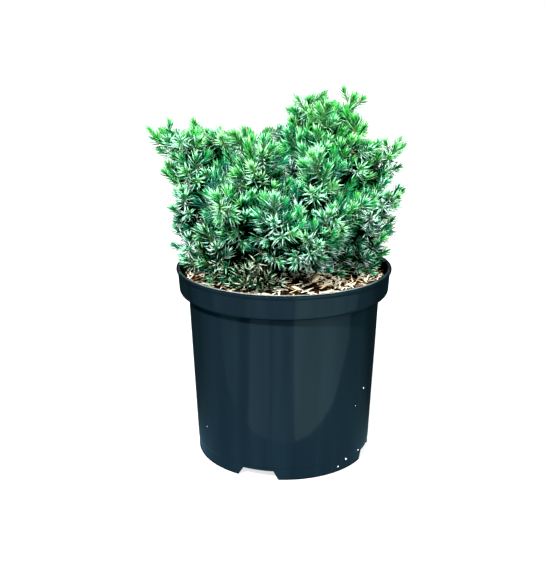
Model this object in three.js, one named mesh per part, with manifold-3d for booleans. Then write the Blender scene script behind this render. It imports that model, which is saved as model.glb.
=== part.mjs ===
// A young blue star juniper in a round plastic nursery pot. A short stem stands in the potting mix and
// carries boughs that fan out and up. Each bough ends where a mass of foliage begins: a stem with side
// shoots, and on every shoot the short stiff needles stand out in whorls of three.
//
// Millimetres, +Z up. The origin is the centre of the pot's flat underside and -Y is the front.
// An azimuth is counted from the front, in degrees, positive towards +X.

import * as THREE from "three";
import { mergeVertices } from "three/addons/utils/BufferGeometryUtils.js";
import Module from "manifold-3d";

const wasm = await Module();
wasm.setup();

// ---------------------------------------------------------------- driving dimensions

const GAP = 0.3; // between solids that touch on the real plant

const POT = {
  height: 153,
  rimRadius: 85,
  lipDepth: 3, // the bead round the mouth
  lipProud: 1.3,
  lipRound: 0.7,
  collarHeight: 20.6,
  collarFootRadius: 82.7,
  collarRound: 1.7,
  ledgeRise: 1.4, // of the collar's underside, from the wall outwards
  wallTopRadius: 75.7, // just under the collar
  baseRadius: 69.9,
  baseRound: 1.4,
  wall: 1.6,
  segments: 48,
};

// The drainage pockets let into the edge of the base, each with a hole in its roof.
const POCKET = {
  count: 4,
  firstAzimuth: -16.5,
  groundWidth: 33,
  topWidth: 25,
  height: 7.5,
  depth: 28, // from the wall inwards
  overrun: 10, // of the cutting shape, past the base and below it
  holeRadius: 5,
  holeInset: 14,
  holeSides: 10,
};

const SOIL = {
  level: 149, // at the foot of the stem
  flatRadius: 12,
  edgeDrop: 4.5, // the mix falls away towards the wall
};

const STEM = {
  height: 46,
  footRadius: 8.5,
  midRadius: 5.2,
  tipRadius: 4.4,
  flareShare: 0.3, // of the height
  lean: 3.5,
  leanPower: 1.5,
  sides: 9,
  steps: 6,
};

const BOUGH = {
  share: 0.34, // of the way from the stem to the furthest tip
  seat: 0.5, // where its line starts, as a share of the stem's radius
  rootRadius: 1.75,
  tipRadius: 1.15,
  sag: 5, // of its tip, below the straight way
  dip: 0.8, // of its middle
  sides: 5,
  steps: 3,
};

// The stem of a mass, from its bough's tip on.
const TWIG = { rootRadius: 1.15, tipRadius: 0.9, sides: 3, steps: 2, bend: 0.45, end: 0.3 };

// How the side shoots leave a mass's axis: shares are of the axis, angles are in degrees.
const SHOOTS = {
  count: 5,
  first: 0.06,
  last: 0.74,
  stray: 0.3, // of the step from one shoot to the next
  opening: 50,
  openingSpread: 16,
  turnSpread: 24,
  lift: 0.3,
  curl: 0.12,
  shrink: 0.35, // of the length, from the axis's heel to its tip
  lengthSpread: 0.24,
  leaderFrom: 0.55, // where the leader's own needles start
};

// A shoot with its needles.
const SPRAY = {
  needle: 8.6, // larger than life, because each stands for several
  shortNeedle: 0.6, // of the length, where a whole one has no room
  coreRadius: 1.25,
  tipCoreRadius: 0.7,
  ringStep: 7.5, // along the shoot, for each ring of six needles
  bareFoot: 8.5, // of a side shoot, before its first needles
  baseLean: 56, // degrees between needle and shoot, at its foot and at its tip
  tipLean: 26,
  bud: 4.5,
  stubBud: 1,
  apart: 0.5, // between the needles of neighbouring shoots
};

// The dense inner part of a mass, from which its shoots stand out.
const HEART = {
  radius: 14,
  from: 0.05, // shares of the mass's axis
  to: 0.76,
  heel: 0.02,
  nose: 5.6,
  swell: [0.55, 0.95, 1, 0.8, 0.4], // of the radius, at each ring
  sides: 5,
  shrinks: [1, 0.88, 0.76, 0.64, 0.52, 0.4, 0.28, 0.16, 0.08],
  margin: 1.1,
  needle: 10,
  lean: 48,
  shootClearance: 4.7,
};

const GOLDEN_ANGLE = 137.508;
const CURVE_FRAMES = 64; // directions worked out along a curve
const LINE_STEPS = 4; // of the broken line that stands for a curve when distances are taken
const SPACE_MARGIN = 0.35; // between a needle and the border of its mass's space
const GROUND_CLEARANCE = 0.8;
const LIMB_CLEARANCE = 0.6;
const STEM_POLYGON_SLACK = 0.1; // the flats of a polygon lie inside its circle
const RIM_BAND = 8; // inside the rim's edge, where foliage has to pass over the rim
const SLIVER = 0.03; // triangles thinner than this are merged away

// Each mass: its name, the azimuth, reach and height (over the potting mix) of its furthest tip, the length
// of its side shoots, the height at which its bough leaves the stem, and the seed of its side shoots.
const CROWN = [
  ["low_left", -87, 87, 21, 29, 6, 58],
  ["low_front_left", -51, 80, 19, 29, 10, 123],
  ["low_front", -19, 72, 8, 29, 6, 94],
  ["low_front_right", 17, 86, 42, 31, 11, 4],
  ["low_right", 88, 81, 16, 29, 6, 91],
  ["low_back_right", 138, 85, 24, 31, 9, 2],
  ["low_back_left", -142, 81, 26, 31, 9, 27],
  ["skirt_left", -84, 85, 51, 29, 15, 10],
  ["skirt_right", 89, 81, 36, 28, 14, 174],
  ["mid_left", -82, 93, 81, 29, 21, 46],
  ["mid_front_left", -34, 90, 75, 31, 18, 11],
  ["mid_front", -5, 87, 60, 31, 21, 78],
  ["mid_front_right", 38, 82, 65, 31, 16, 55],
  ["mid_right", 85, 91, 65, 28, 21, 54],
  ["mid_back_right", 126, 89, 73, 31, 18, 3],
  ["mid_back", 180, 94, 58, 31, 15, 133],
  ["mid_back_left", -130, 92, 75, 31, 19, 44],
  ["top_left", -88, 103, 112, 31, 29, 75],
  ["upper_left", -104, 72, 112, 30, 34, 8],
  ["top_front", -30, 54, 107, 31, 28, 80],
  ["top_front_right", 30, 64, 92, 31, 25, 38],
  ["top_back", 172, 62, 110, 31, 29, 73],
  ["top_back_left", -144, 48, 105, 31, 36, 124],
  ["top_right", 87, 91, 100, 30, 27, 111],
  ["upper_right", 77, 62, 116, 29, 33, 18],
  ["tall_left", 133, 25, 132, 31, 46, 100],
  ["tall_right", 108, 58, 135, 31, 35, 125],
  ["tall_front", 72, 38, 124, 30, 39, 93],
];

// ---------------------------------------------------------------- small tools

const radians = THREE.MathUtils.degToRad;
const up = new THREE.Vector3(0, 0, 1);

// The point at an azimuth, a distance from the pot's axis and a height over the ground.
function polar(azimuth, radius, z) {
  const a = radians(azimuth);
  return new THREE.Vector3(radius * Math.sin(a), -radius * Math.cos(a), z);
}

// A small seeded generator of numbers from 0 to 1, the same ones each time.
function seeded(seed) {
  let state = (seed * 7919 + 104729) >>> 0;
  return () => {
    state = (Math.imul(state, 1664525) + 1013904223) >>> 0;
    return state / 4294967296;
  };
}

// A closed three.js geometry as a manifold-3d solid.
function solidFrom(geometry) {
  const loose = geometry.index ? geometry.toNonIndexed() : geometry;
  const bare = new THREE.BufferGeometry();
  bare.setAttribute("position", loose.getAttribute("position"));
  const merged = mergeVertices(bare, 1e-3);
  const index = merged.index.array;
  const kept = [];
  for (let i = 0; i < index.length; i += 3) {
    const [a, b, c] = index.slice(i, i + 3);
    if (a !== b && b !== c && c !== a) kept.push(a, b, c);
  }
  return new wasm.Manifold(
    new wasm.Mesh({
      numProp: 3,
      vertProperties: merged.attributes.position.array,
      triVerts: new Uint32Array(kept),
    }),
  );
}

// The largest closed body of a solid: loose scraps go, and a sealed hollow is filled.
function mainBody(solid) {
  return solid.decompose().sort((a, b) => b.volume() - a.volume())[0];
}

function geometryFrom(solid) {
  const mesh = solid.getMesh();
  const geometry = new THREE.BufferGeometry();
  geometry.setAttribute("position", new THREE.BufferAttribute(mesh.vertProperties, 3));
  geometry.setIndex(new THREE.BufferAttribute(mesh.triVerts, 1));
  return geometry;
}

// Triangles collected one by one, and then made a geometry.
class Shell {
  constructor() {
    this.numbers = [];
  }

  face(a, b, c) {
    for (const p of [a, b, c]) this.numbers.push(p.x, p.y, p.z);
  }

  geometry() {
    const made = new THREE.BufferGeometry();
    made.setAttribute("position", new THREE.Float32BufferAttribute(this.numbers, 3));
    return made;
  }
}

// The corners of regular polygons set across a curve at its stations, turned by a fixed angle from one to the
// next. Stations are counted from 0 to 1 along the curve.
function ringsAlong(curve, stations, sides, radiusAt, turn = 0) {
  const frames = curve.computeFrenetFrames(CURVE_FRAMES, false);
  return stations.map((t, i) => {
    const centre = curve.getPoint(t);
    const frame = Math.round(t * CURVE_FRAMES);
    const corners = [];
    for (let k = 0; k < sides; k += 1) {
      const angle = (k * 2 * Math.PI) / sides + i * turn;
      corners.push(
        centre
          .clone()
          .addScaledVector(frames.normals[frame], Math.cos(angle) * radiusAt(t))
          .addScaledVector(frames.binormals[frame], Math.sin(angle) * radiusAt(t)),
      );
    }
    return { centre, tangent: frames.tangents[frame], corners };
  });
}

// Numbers evenly spaced from one to another, both included.
function spaced(from, to, steps) {
  return Array.from({ length: steps + 1 }, (_, i) => from + ((to - from) * i) / steps);
}

// A round limb that tapers along a curve, with flat ends.
function limb(curve, sides, steps, radiusAt, end = 1) {
  const rings = ringsAlong(curve, spaced(0, end, steps), sides, radiusAt);
  const shell = new Shell();
  const [first, last] = [rings[0].corners, rings[steps].corners];
  for (let k = 0; k < sides; k += 1) {
    const next = (k + 1) % sides;
    for (let i = 0; i < steps; i += 1) {
      const [low, high] = [rings[i].corners, rings[i + 1].corners];
      shell.face(low[k], low[next], high[next]);
      shell.face(low[k], high[next], high[k]);
    }
    if (k > 0 && next > 0) {
      shell.face(first[0], first[next], first[k]);
      shell.face(last[0], last[k], last[next]);
    }
  }
  return solidFrom(shell.geometry());
}

const taper = (start, end) => (along) => start + (end - start) * along;

// ---------------------------------------------------------------- the pot and its filling

// The outside of the pot below its lip, from the base up to the mouth, drawn in by an inset.
function wallProfile(inset) {
  const collarFoot = POT.height - POT.collarHeight;
  const profile = [
    [POT.baseRadius - POT.baseRound, 0],
    [POT.baseRadius, POT.baseRound],
    [POT.wallTopRadius, collarFoot],
    [POT.collarFootRadius - POT.collarRound, collarFoot + POT.ledgeRise],
    [POT.collarFootRadius, collarFoot + POT.ledgeRise + POT.collarRound],
  ].map(([radius, z]) => [radius - inset, z + inset]);
  return [...profile, [POT.rimRadius - POT.lipProud - inset, POT.height - POT.lipDepth]];
}

function turned(points) {
  const profile = points.map(([radius, z]) => new THREE.Vector2(radius, z));
  return solidFrom(new THREE.LatheGeometry(profile, POT.segments).rotateX(Math.PI / 2));
}

const pocketTurn = 360 / POCKET.count;
const pocketAzimuths = Array.from({ length: POCKET.count }, (_, k) => POCKET.firstAzimuth + k * pocketTurn);

// The drainage pockets, grown by a skin all round.
function pockets(skin) {
  const foot = POCKET.groundWidth / 2 + skin;
  const top = POCKET.topWidth / 2 + skin;
  const outline = new THREE.Shape(
    [
      [-foot, -POCKET.overrun],
      [foot, -POCKET.overrun],
      [foot, 0],
      [top, POCKET.height + skin],
      [-top, POCKET.height + skin],
      [-foot, 0],
    ].map(([x, y]) => new THREE.Vector2(x, y)),
  );
  const start = POT.baseRadius - POCKET.depth - skin;
  const depth = POT.baseRadius + POCKET.overrun - start;
  const cuts = pocketAzimuths.map((azimuth) => {
    const geometry = new THREE.ExtrudeGeometry(outline, { depth, bevelEnabled: false });
    return solidFrom(geometry.rotateX(Math.PI / 2).translate(0, -start, 0).rotateZ(radians(azimuth)));
  });
  return wasm.Manifold.union(cuts);
}

function drainHoles() {
  const { holeRadius, holeInset, holeSides, height } = POCKET;
  const cuts = pocketAzimuths.map((azimuth) => {
    const hole = new THREE.CylinderGeometry(holeRadius, holeRadius, 2 * height, holeSides);
    const at = polar(azimuth, POT.baseRadius - holeInset, height);
    return solidFrom(hole.rotateX(Math.PI / 2).translate(at.x, at.y, at.z));
  });
  return wasm.Manifold.union(cuts);
}

function potSolid() {
  const { height, rimRadius, lipDepth, lipRound, wall } = POT;
  const outside = turned([
    [0, 0],
    ...wallProfile(0),
    [rimRadius, height - lipDepth + lipRound],
    [rimRadius, height - lipRound],
    [rimRadius - lipRound, height],
    [0, height],
  ]);
  const inner = wallProfile(wall);
  const mouth = inner.at(-1)[0];
  const cavity = turned([[0, wall], ...inner, [mouth, height + wall], [0, height + wall]]);
  return outside.subtract(pockets(0)).subtract(cavity.subtract(pockets(wall))).subtract(drainHoles());
}

// The height of the potting mix at a distance from the pot's axis.
const soilEdge = POT.collarFootRadius - POT.wall - GAP;
function soilHeight(radius) {
  const share = THREE.MathUtils.clamp((radius - SOIL.flatRadius) / (soilEdge - SOIL.flatRadius), 0, 1);
  return SOIL.level - SOIL.edgeDrop * share;
}

function soilSolid() {
  const inset = POT.wall + GAP;
  const mix = turned([
    [0, inset],
    ...wallProfile(inset).slice(0, -1),
    [soilEdge, soilHeight(soilEdge)],
    [SOIL.flatRadius, SOIL.level],
    [0, SOIL.level],
  ]);
  return mix.subtract(pockets(inset));
}

// ---------------------------------------------------------------- the stem and the boughs

const stemFoot = new THREE.Vector3(0, 0, SOIL.level + GAP);

// The middle of the stem at a share of its height: it leans over a little more as it rises.
function stemCentre(share) {
  return stemFoot.clone().add(new THREE.Vector3(STEM.lean * share ** STEM.leanPower, 0, STEM.height * share));
}

const stemLine = spaced(0, 1, LINE_STEPS).map(stemCentre);

// Wide at the root flare, then nearly even up to the fork.
function stemRadius(share) {
  const flare = Math.max(0, 1 - share / STEM.flareShare) ** 2;
  const trunk = STEM.midRadius + (STEM.tipRadius - STEM.midRadius) * share;
  return trunk + (STEM.footRadius - STEM.midRadius) * flare;
}

// Turned upright, so that its foot is flat on the potting mix, and then leant over level by level.
function stemSolid(skin = 0) {
  const height = STEM.height + skin;
  const profile = spaced(0, 1, STEM.steps).map((share) => [stemRadius(share) + skin, height * share]);
  const points = [[0, 0], ...profile, [0, height]].map(([r, z]) => new THREE.Vector2(r, z));
  const geometry = new THREE.LatheGeometry(points, STEM.sides).rotateX(Math.PI / 2);
  return solidFrom(geometry).warp((vertex) => {
    const centre = stemCentre(Math.max(0, vertex[2] / STEM.height));
    vertex[0] += centre.x;
    vertex[2] = centre.z;
  });
}

// One bough and the axis of the mass it carries, worked out from a row of CROWN.
function growthOf([name, azimuth, reach, height, shootLength, leaves, seed], index) {
  const share = leaves / STEM.height;
  const root = stemCentre(share).add(polar(azimuth, BOUGH.seat * stemRadius(share), 0));
  const tip = polar(azimuth, reach, SOIL.level + height);
  const heel = root.clone().lerp(tip, BOUGH.share).addScaledVector(up, -BOUGH.sag);
  const middle = root.clone().lerp(heel, 0.5).addScaledVector(up, -BOUGH.dip);
  const bough = new THREE.QuadraticBezierCurve3(root, middle, heel);
  const heading = bough.getTangent(1);
  const start = heel.clone().addScaledVector(heading, GAP);
  const bend = start.clone().addScaledVector(heading, start.distanceTo(tip) * TWIG.bend);
  const axis = new THREE.QuadraticBezierCurve3(start, bend, tip);
  return { name, index, shootLength, seed, bough, axis };
}

const growths = CROWN.map(growthOf);
const boughRadius = taper(BOUGH.rootRadius, BOUGH.tipRadius);

function boughSolid(growth, stemKeepOut) {
  const whole = limb(growth.bough, BOUGH.sides, BOUGH.steps, boughRadius);
  return mainBody(whole.subtract(stemKeepOut));
}

// ---------------------------------------------------------------- each mass's own space

const axisLines = growths.map(({ axis }) => axis.getPoints(LINE_STEPS));
const boughLines = growths.map(({ bough }) => bough.getPoints(LINE_STEPS));

// The least distance from a point to a broken line.
function distanceTo(line, point) {
  const nearest = new THREE.Vector3();
  let least = Infinity;
  for (let i = 1; i < line.length; i += 1) {
    new THREE.Line3(line[i - 1], line[i]).closestPointToPoint(point, true, nearest);
    least = Math.min(least, nearest.distanceTo(point));
  }
  return least;
}

// A point is in a mass's space if it is nearer to that mass's axis than to any other, over the potting mix
// and the pot's rim, and clear of the stem and the boughs.
function inSpace(growth, point, margin) {
  const flat = Math.hypot(point.x, point.y);
  const ground = flat > POT.rimRadius - RIM_BAND ? POT.height : soilHeight(flat);
  if (point.z < ground + GROUND_CLEARANCE + margin) return false;
  const ownLine = axisLines[growth.index];
  const own = distanceTo(ownLine, point);
  const nearest = (line) => line === ownLine || distanceTo(line, point) - own > 2 * margin;
  const clear = (line) => distanceTo(line, point) > BOUGH.rootRadius + LIMB_CLEARANCE + margin;
  const offStem = distanceTo(stemLine, point) > STEM.footRadius + margin;
  return offStem && axisLines.every(nearest) && boughLines.every(clear);
}

// ---------------------------------------------------------------- shoots and their needles

// The shoots of a mass: the leader, which ends the mass's own stem, and the side shoots. Each has its curve,
// the share of it where the spray starts, the bare length before its first needles, and the lines of the other
// shoots.
function shootsOf({ axis, shootLength, seed }) {
  const random = seeded(seed);
  const around = (middle, spread) => middle + spread * (random() - 0.5);
  const frames = axis.computeFrenetFrames(CURVE_FRAMES, false);
  const spin = around(180, 360);
  const step = (SHOOTS.last - SHOOTS.first) / (SHOOTS.count - 1);
  const shoots = [{ curve: axis, from: SHOOTS.leaderFrom, bare: 0 }];
  for (let k = 0; k < SHOOTS.count; k += 1) {
    const along = SHOOTS.first + step * (k + SHOOTS.stray * random());
    const angle = radians(around(spin + k * GOLDEN_ANGLE, SHOOTS.turnSpread));
    const opening = radians(around(SHOOTS.opening, SHOOTS.openingSpread));
    const length = shootLength * (1 - SHOOTS.shrink * along) * around(1, SHOOTS.lengthSpread);
    const frame = Math.round(along * CURVE_FRAMES);
    const side = new THREE.Vector3()
      .addScaledVector(frames.normals[frame], Math.cos(angle))
      .addScaledVector(frames.binormals[frame], Math.sin(angle));
    const heading = new THREE.Vector3()
      .addScaledVector(frames.tangents[frame], Math.cos(opening))
      .addScaledVector(side, Math.sin(opening))
      .addScaledVector(up, SHOOTS.lift)
      .normalize();
    const root = axis.getPoint(along);
    const bend = root.clone().addScaledVector(heading, length / 2);
    const tip = root.clone().addScaledVector(heading, length).addScaledVector(up, length * SHOOTS.curl);
    shoots.push({ curve: new THREE.QuadraticBezierCurve3(root, bend, tip), from: 0, bare: SPRAY.bareFoot });
  }
  for (const shoot of shoots) shoot.line = shoot.curve.getPoints(LINE_STEPS);
  for (const shoot of shoots) {
    shoot.others = shoots.filter((other) => other !== shoot).map(({ line }) => line);
  }
  return shoots;
}

// The tip of the needle that stands on a face of a core, leaning forward from the core's own line, or null
// where it would leave its mass's space or come among the needles of another shoot. A shorter one is tried
// after a whole one.
function needleTip(growth, corners, ring, length, lean, isApart) {
  const foot = new THREE.Vector3();
  for (const corner of corners) foot.addScaledVector(corner, 1 / corners.length);
  const outward = foot.clone().sub(ring.centre);
  outward.addScaledVector(ring.tangent, -outward.dot(ring.tangent)).normalize();
  const heading = new THREE.Vector3()
    .addScaledVector(outward, Math.sin(radians(lean)))
    .addScaledVector(ring.tangent, Math.cos(radians(lean)));
  for (const reach of [length, length * SPRAY.shortNeedle]) {
    const tip = foot.clone().addScaledVector(heading, reach);
    const isClear = (share) => inSpace(growth, foot.clone().lerp(tip, share), SPACE_MARGIN);
    if ([0.5, 0.75, 1].every(isClear) && isApart(tip)) return tip;
  }
  return null;
}

// A face of a core: a spike to the tip of its needle, or flat if it has none.
function faceWithNeedle(shell, [a, b, c], tip) {
  if (!tip) {
    shell.face(a, b, c);
    return;
  }
  shell.face(a, b, tip);
  shell.face(b, c, tip);
  shell.face(c, a, tip);
}

// The two faces between neighbouring corners of one ring and the next, which is turned by half a side.
function bandFaces(low, high, k) {
  const next = (k + 1) % low.corners.length;
  return [
    [low.corners[k], low.corners[next], high.corners[k]],
    [high.corners[k], low.corners[next], high.corners[next]],
  ];
}

// The heart of a mass: a closed shape round its axis, drawn in wherever its space is narrow, with a needle on
// every other face.
function heartSolid(growth, shoots) {
  const stations = spaced(HEART.from, HEART.to, HEART.swell.length - 1);
  const rings = ringsAlong(growth.axis, stations, HEART.sides, () => 1, Math.PI / HEART.sides);
  rings.forEach((ring, i) => {
    ring.corners = ring.corners.map((corner) => {
      const outward = corner.clone().sub(ring.centre);
      const radius = HEART.radius * HEART.swell[i];
      const at = (share) => ring.centre.clone().addScaledVector(outward, radius * share);
      const widest = HEART.shrinks.find((share) => inSpace(growth, at(share), HEART.margin));
      return at(widest ?? HEART.shrinks.at(-1));
    });
  });
  const isApart = (tip) => shoots.every(({ line }) => distanceTo(line, tip) > HEART.shootClearance);
  const shell = new Shell();
  for (let i = 1; i < rings.length; i += 1) {
    for (let k = 0; k < HEART.sides; k += 1) {
      bandFaces(rings[i - 1], rings[i], k).forEach((corners, side) => {
        const wanted = (i + k + side) % 2 === 0;
        const needle = () => needleTip(growth, corners, rings[i - 1], HEART.needle, HEART.lean, isApart);
        faceWithNeedle(shell, corners, wanted ? needle() : null);
      });
    }
  }
  const [foot, top] = [rings[0], rings.at(-1)];
  const below = growth.axis.getPoint(HEART.heel);
  const above = top.centre.clone().addScaledVector(top.tangent, HEART.nose);
  for (let k = 0; k < HEART.sides; k += 1) {
    const next = (k + 1) % HEART.sides;
    shell.face(foot.corners[next], foot.corners[k], below);
    shell.face(top.corners[k], top.corners[next], above);
  }
  return solidFrom(shell.geometry());
}

// A shoot as one spray: a slim three-sided core, turned a sixth of a turn at each ring, with a needle on each
// of its faces. It stops short where its space ends, and is left out if it would have no needles.
function spraySolid(growth, { curve, from, bare, line, others }) {
  const length = curve.getLength();
  const start = from + bare / length;
  const end = 1 - SPRAY.bud / length;
  const count = Math.max(1, Math.round(((end - start) * length) / SPRAY.ringStep));
  const footRings = bare > 0 ? 1 : 0;
  const stations = [...(footRings ? [from] : []), ...spaced(start, end, count)];
  const rings = ringsAlong(curve, stations, 3, taper(SPRAY.coreRadius, SPRAY.tipCoreRadius), Math.PI / 3);
  const fits = ({ centre }) => inSpace(growth, centre, SPRAY.coreRadius + SPACE_MARGIN);
  const firstOut = rings.findIndex((ring, i) => i > 0 && !fits(ring));
  const kept = firstOut < 0 ? rings : rings.slice(0, firstOut);
  if (kept.length < footRings + 2) return null;

  const lead = (other, tip) => distanceTo(other, tip) - distanceTo(line, tip);
  const isApart = (tip) => others.every((other) => lead(other, tip) > SPRAY.apart);
  const shell = new Shell();
  for (let i = 1; i < kept.length; i += 1) {
    const [low, high] = [kept[i - 1], kept[i]];
    const lean = THREE.MathUtils.lerp(SPRAY.baseLean, SPRAY.tipLean, (i - 1 - footRings) / count);
    for (let k = 0; k < low.corners.length; k += 1) {
      for (const corners of bandFaces(low, high, k)) {
        const tip = i > footRings ? needleTip(growth, corners, low, SPRAY.needle, lean, isApart) : null;
        faceWithNeedle(shell, corners, tip);
      }
    }
  }
  const foot = kept[0].corners;
  const top = kept.at(-1);
  const ahead = (reach) => top.centre.clone().addScaledVector(top.tangent, reach);
  const bud = inSpace(growth, ahead(SPRAY.bud), SPACE_MARGIN) ? ahead(SPRAY.bud) : ahead(SPRAY.stubBud);
  shell.face(foot[0], foot[2], foot[1]);
  for (let k = 0; k < 3; k += 1) shell.face(top.corners[k], top.corners[(k + 1) % 3], bud);
  return solidFrom(shell.geometry());
}

// A mass: its stem, from the bough's tip on, with its heart and every spray fused to it.
function massSolid(growth) {
  const shoots = shootsOf(growth);
  const stem = limb(growth.axis, TWIG.sides, TWIG.steps, taper(TWIG.rootRadius, TWIG.tipRadius), TWIG.end);
  const sprays = shoots.map((shoot) => spraySolid(growth, shoot)).filter(Boolean);
  return mainBody(wasm.Manifold.union([stem, heartSolid(growth, shoots), ...sprays]).simplify(SLIVER));
}

// ---------------------------------------------------------------- the assembly

const finish = (colour, roughness) =>
  new THREE.MeshStandardMaterial({ color: colour, roughness, metalness: 0 });
const plastic = finish(0x1f3742, 0.38);
const mix = finish(0x5c4a36, 0.95);
const bark = finish(0x6b4a36, 0.85);
const needles = finish(0x4f9068, 0.6);

const juniper = new THREE.Group();

function add(name, solid, material) {
  const mesh = new THREE.Mesh(geometryFrom(solid), material);
  mesh.name = name;
  juniper.add(mesh);
}

add("pot", potSolid(), plastic);
add("potting_mix", soilSolid(), mix);
add("stem", stemSolid(), bark);

const stemKeepOut = stemSolid(GAP + STEM_POLYGON_SLACK);
for (const growth of growths) {
  add(`bough_${growth.name}`, boughSolid(growth, stemKeepOut), bark);
  add(`foliage_${growth.name}`, massSolid(growth), needles);
}

export default juniper;
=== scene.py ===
"""The looks of a potted blue star juniper, built round its packed construction model.

The boughs and the stems of the foliage masses grow here by the same rule as the solids of the model.
The rule is then carried on to finer twigs and to single needles, which stand round every shoot in whorls
of three. Each needle has a keeled green back and a flat face with a pale bloom, which is turned towards
the tip of its shoot.

Growth is worked out in millimetres and meshes are made in metres. The origin is the centre of the pot's
flat underside, +Z is up and -Y is the front. An azimuth counts from the front and is positive towards +X.
"""

from __future__ import annotations

import logging
import math
from dataclasses import dataclass, field
from enum import Enum
from functools import cached_property
from itertools import product
from typing import Iterable, Sequence

import bmesh
import bpy
import numpy as np
from mathutils import Matrix, Vector, noise

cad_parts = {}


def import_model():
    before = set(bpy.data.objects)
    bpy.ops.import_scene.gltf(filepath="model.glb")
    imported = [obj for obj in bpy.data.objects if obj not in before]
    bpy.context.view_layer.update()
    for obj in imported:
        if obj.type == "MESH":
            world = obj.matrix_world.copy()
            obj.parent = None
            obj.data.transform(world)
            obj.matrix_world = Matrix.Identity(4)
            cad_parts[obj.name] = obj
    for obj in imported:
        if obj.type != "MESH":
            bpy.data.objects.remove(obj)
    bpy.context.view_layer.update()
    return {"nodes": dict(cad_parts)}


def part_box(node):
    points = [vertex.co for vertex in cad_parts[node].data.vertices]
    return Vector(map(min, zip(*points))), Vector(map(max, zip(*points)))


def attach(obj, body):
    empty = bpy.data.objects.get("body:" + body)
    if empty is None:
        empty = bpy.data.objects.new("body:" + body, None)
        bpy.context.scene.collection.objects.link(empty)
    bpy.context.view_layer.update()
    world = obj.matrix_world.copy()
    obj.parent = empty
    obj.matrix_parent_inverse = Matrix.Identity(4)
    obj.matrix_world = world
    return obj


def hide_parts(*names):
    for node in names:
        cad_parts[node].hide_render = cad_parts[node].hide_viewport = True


LOG = logging.getLogger("juniper")

Draws = np.random.Generator
Material = bpy.types.Material
Mesh = bpy.types.Mesh
Piece = bpy.types.Object
Shape = bmesh.types.BMesh
Socket = bpy.types.NodeSocket
Span = tuple[float, float]
Triple = tuple[float, float, float]

MM = 0.001
GOLDEN_ANGLE = 137.508
CURVE_FRAMES = 64  # directions worked out along a curve
CURVE_PARTS = 200  # straight parts by which a curve's length is measured
WELD = 1e-6  # metres within which corners are joined
BARK_SHARP = 60.0  # degrees past which an edge of the bark stays sharp
PIECE_TRIANGLES = 190_000  # the most in one joined piece
UP = np.array([0.0, 0.0, 1.0])
WHITE = (1.0, 1.0, 1.0, 1.0)


# ---------------------------------------------------------------- small tools


def linear(code: str) -> tuple[float, float, float, float]:
    """Turn a display colour into the linear one that shaders take.

    Args:
        code: Red, green and blue as six hexadecimal digits.

    Returns:
        The linear colour, with an alpha of 1.
    """
    shares = [int(code[i : i + 2], 16) / 255 for i in (0, 2, 4)]
    red, green, blue = (s / 12.92 if s <= 0.04045 else ((s + 0.055) / 1.055) ** 2.4 for s in shares)
    return red, green, blue, 1.0


def unit(vectors: np.ndarray) -> np.ndarray:
    """Return the vectors in the last axis scaled to length 1."""
    return vectors / np.linalg.norm(vectors, axis=-1, keepdims=True)


def polar(azimuth: float, radius: float, height: float) -> np.ndarray:
    """Return the point at an azimuth in degrees, a distance from the pot's axis and a height."""
    angle = math.radians(azimuth)
    return np.array([radius * math.sin(angle), -radius * math.cos(angle), height])


def pointing(yaw: np.ndarray | float, pitch: np.ndarray | float) -> np.ndarray:
    """Return the direction or directions turned by a yaw from +X and raised by a pitch, both in radians."""
    flat = np.cos(pitch)
    return np.stack([np.cos(yaw) * flat, np.sin(yaw) * flat, np.sin(pitch)], axis=-1)


def blend(start: float, end: float, share: np.ndarray | float) -> np.ndarray | float:
    """Return the value at a share of the way from start to end."""
    return start + (end - start) * share


class ModelDraws:
    """The construction model's own seeded generator, so that its shoots come out at the same places."""

    SEED_FACTOR, SEED_STEP = 7919, 104729
    FACTOR, STEP, RANGE = 1664525, 1013904223, 2**32

    def __init__(self, seed: int) -> None:
        """Start the row of numbers that belongs to a seed."""
        self.state = (seed * self.SEED_FACTOR + self.SEED_STEP) % self.RANGE

    def __call__(self) -> float:
        """Return the next number, from 0 to 1."""
        self.state = (self.state * self.FACTOR + self.STEP) % self.RANGE
        return self.state / self.RANGE

    def around(self, middle: float, spread: float) -> float:
        """Return a number within half the spread on either side of the middle."""
        return middle + spread * (self() - 0.5)


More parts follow.
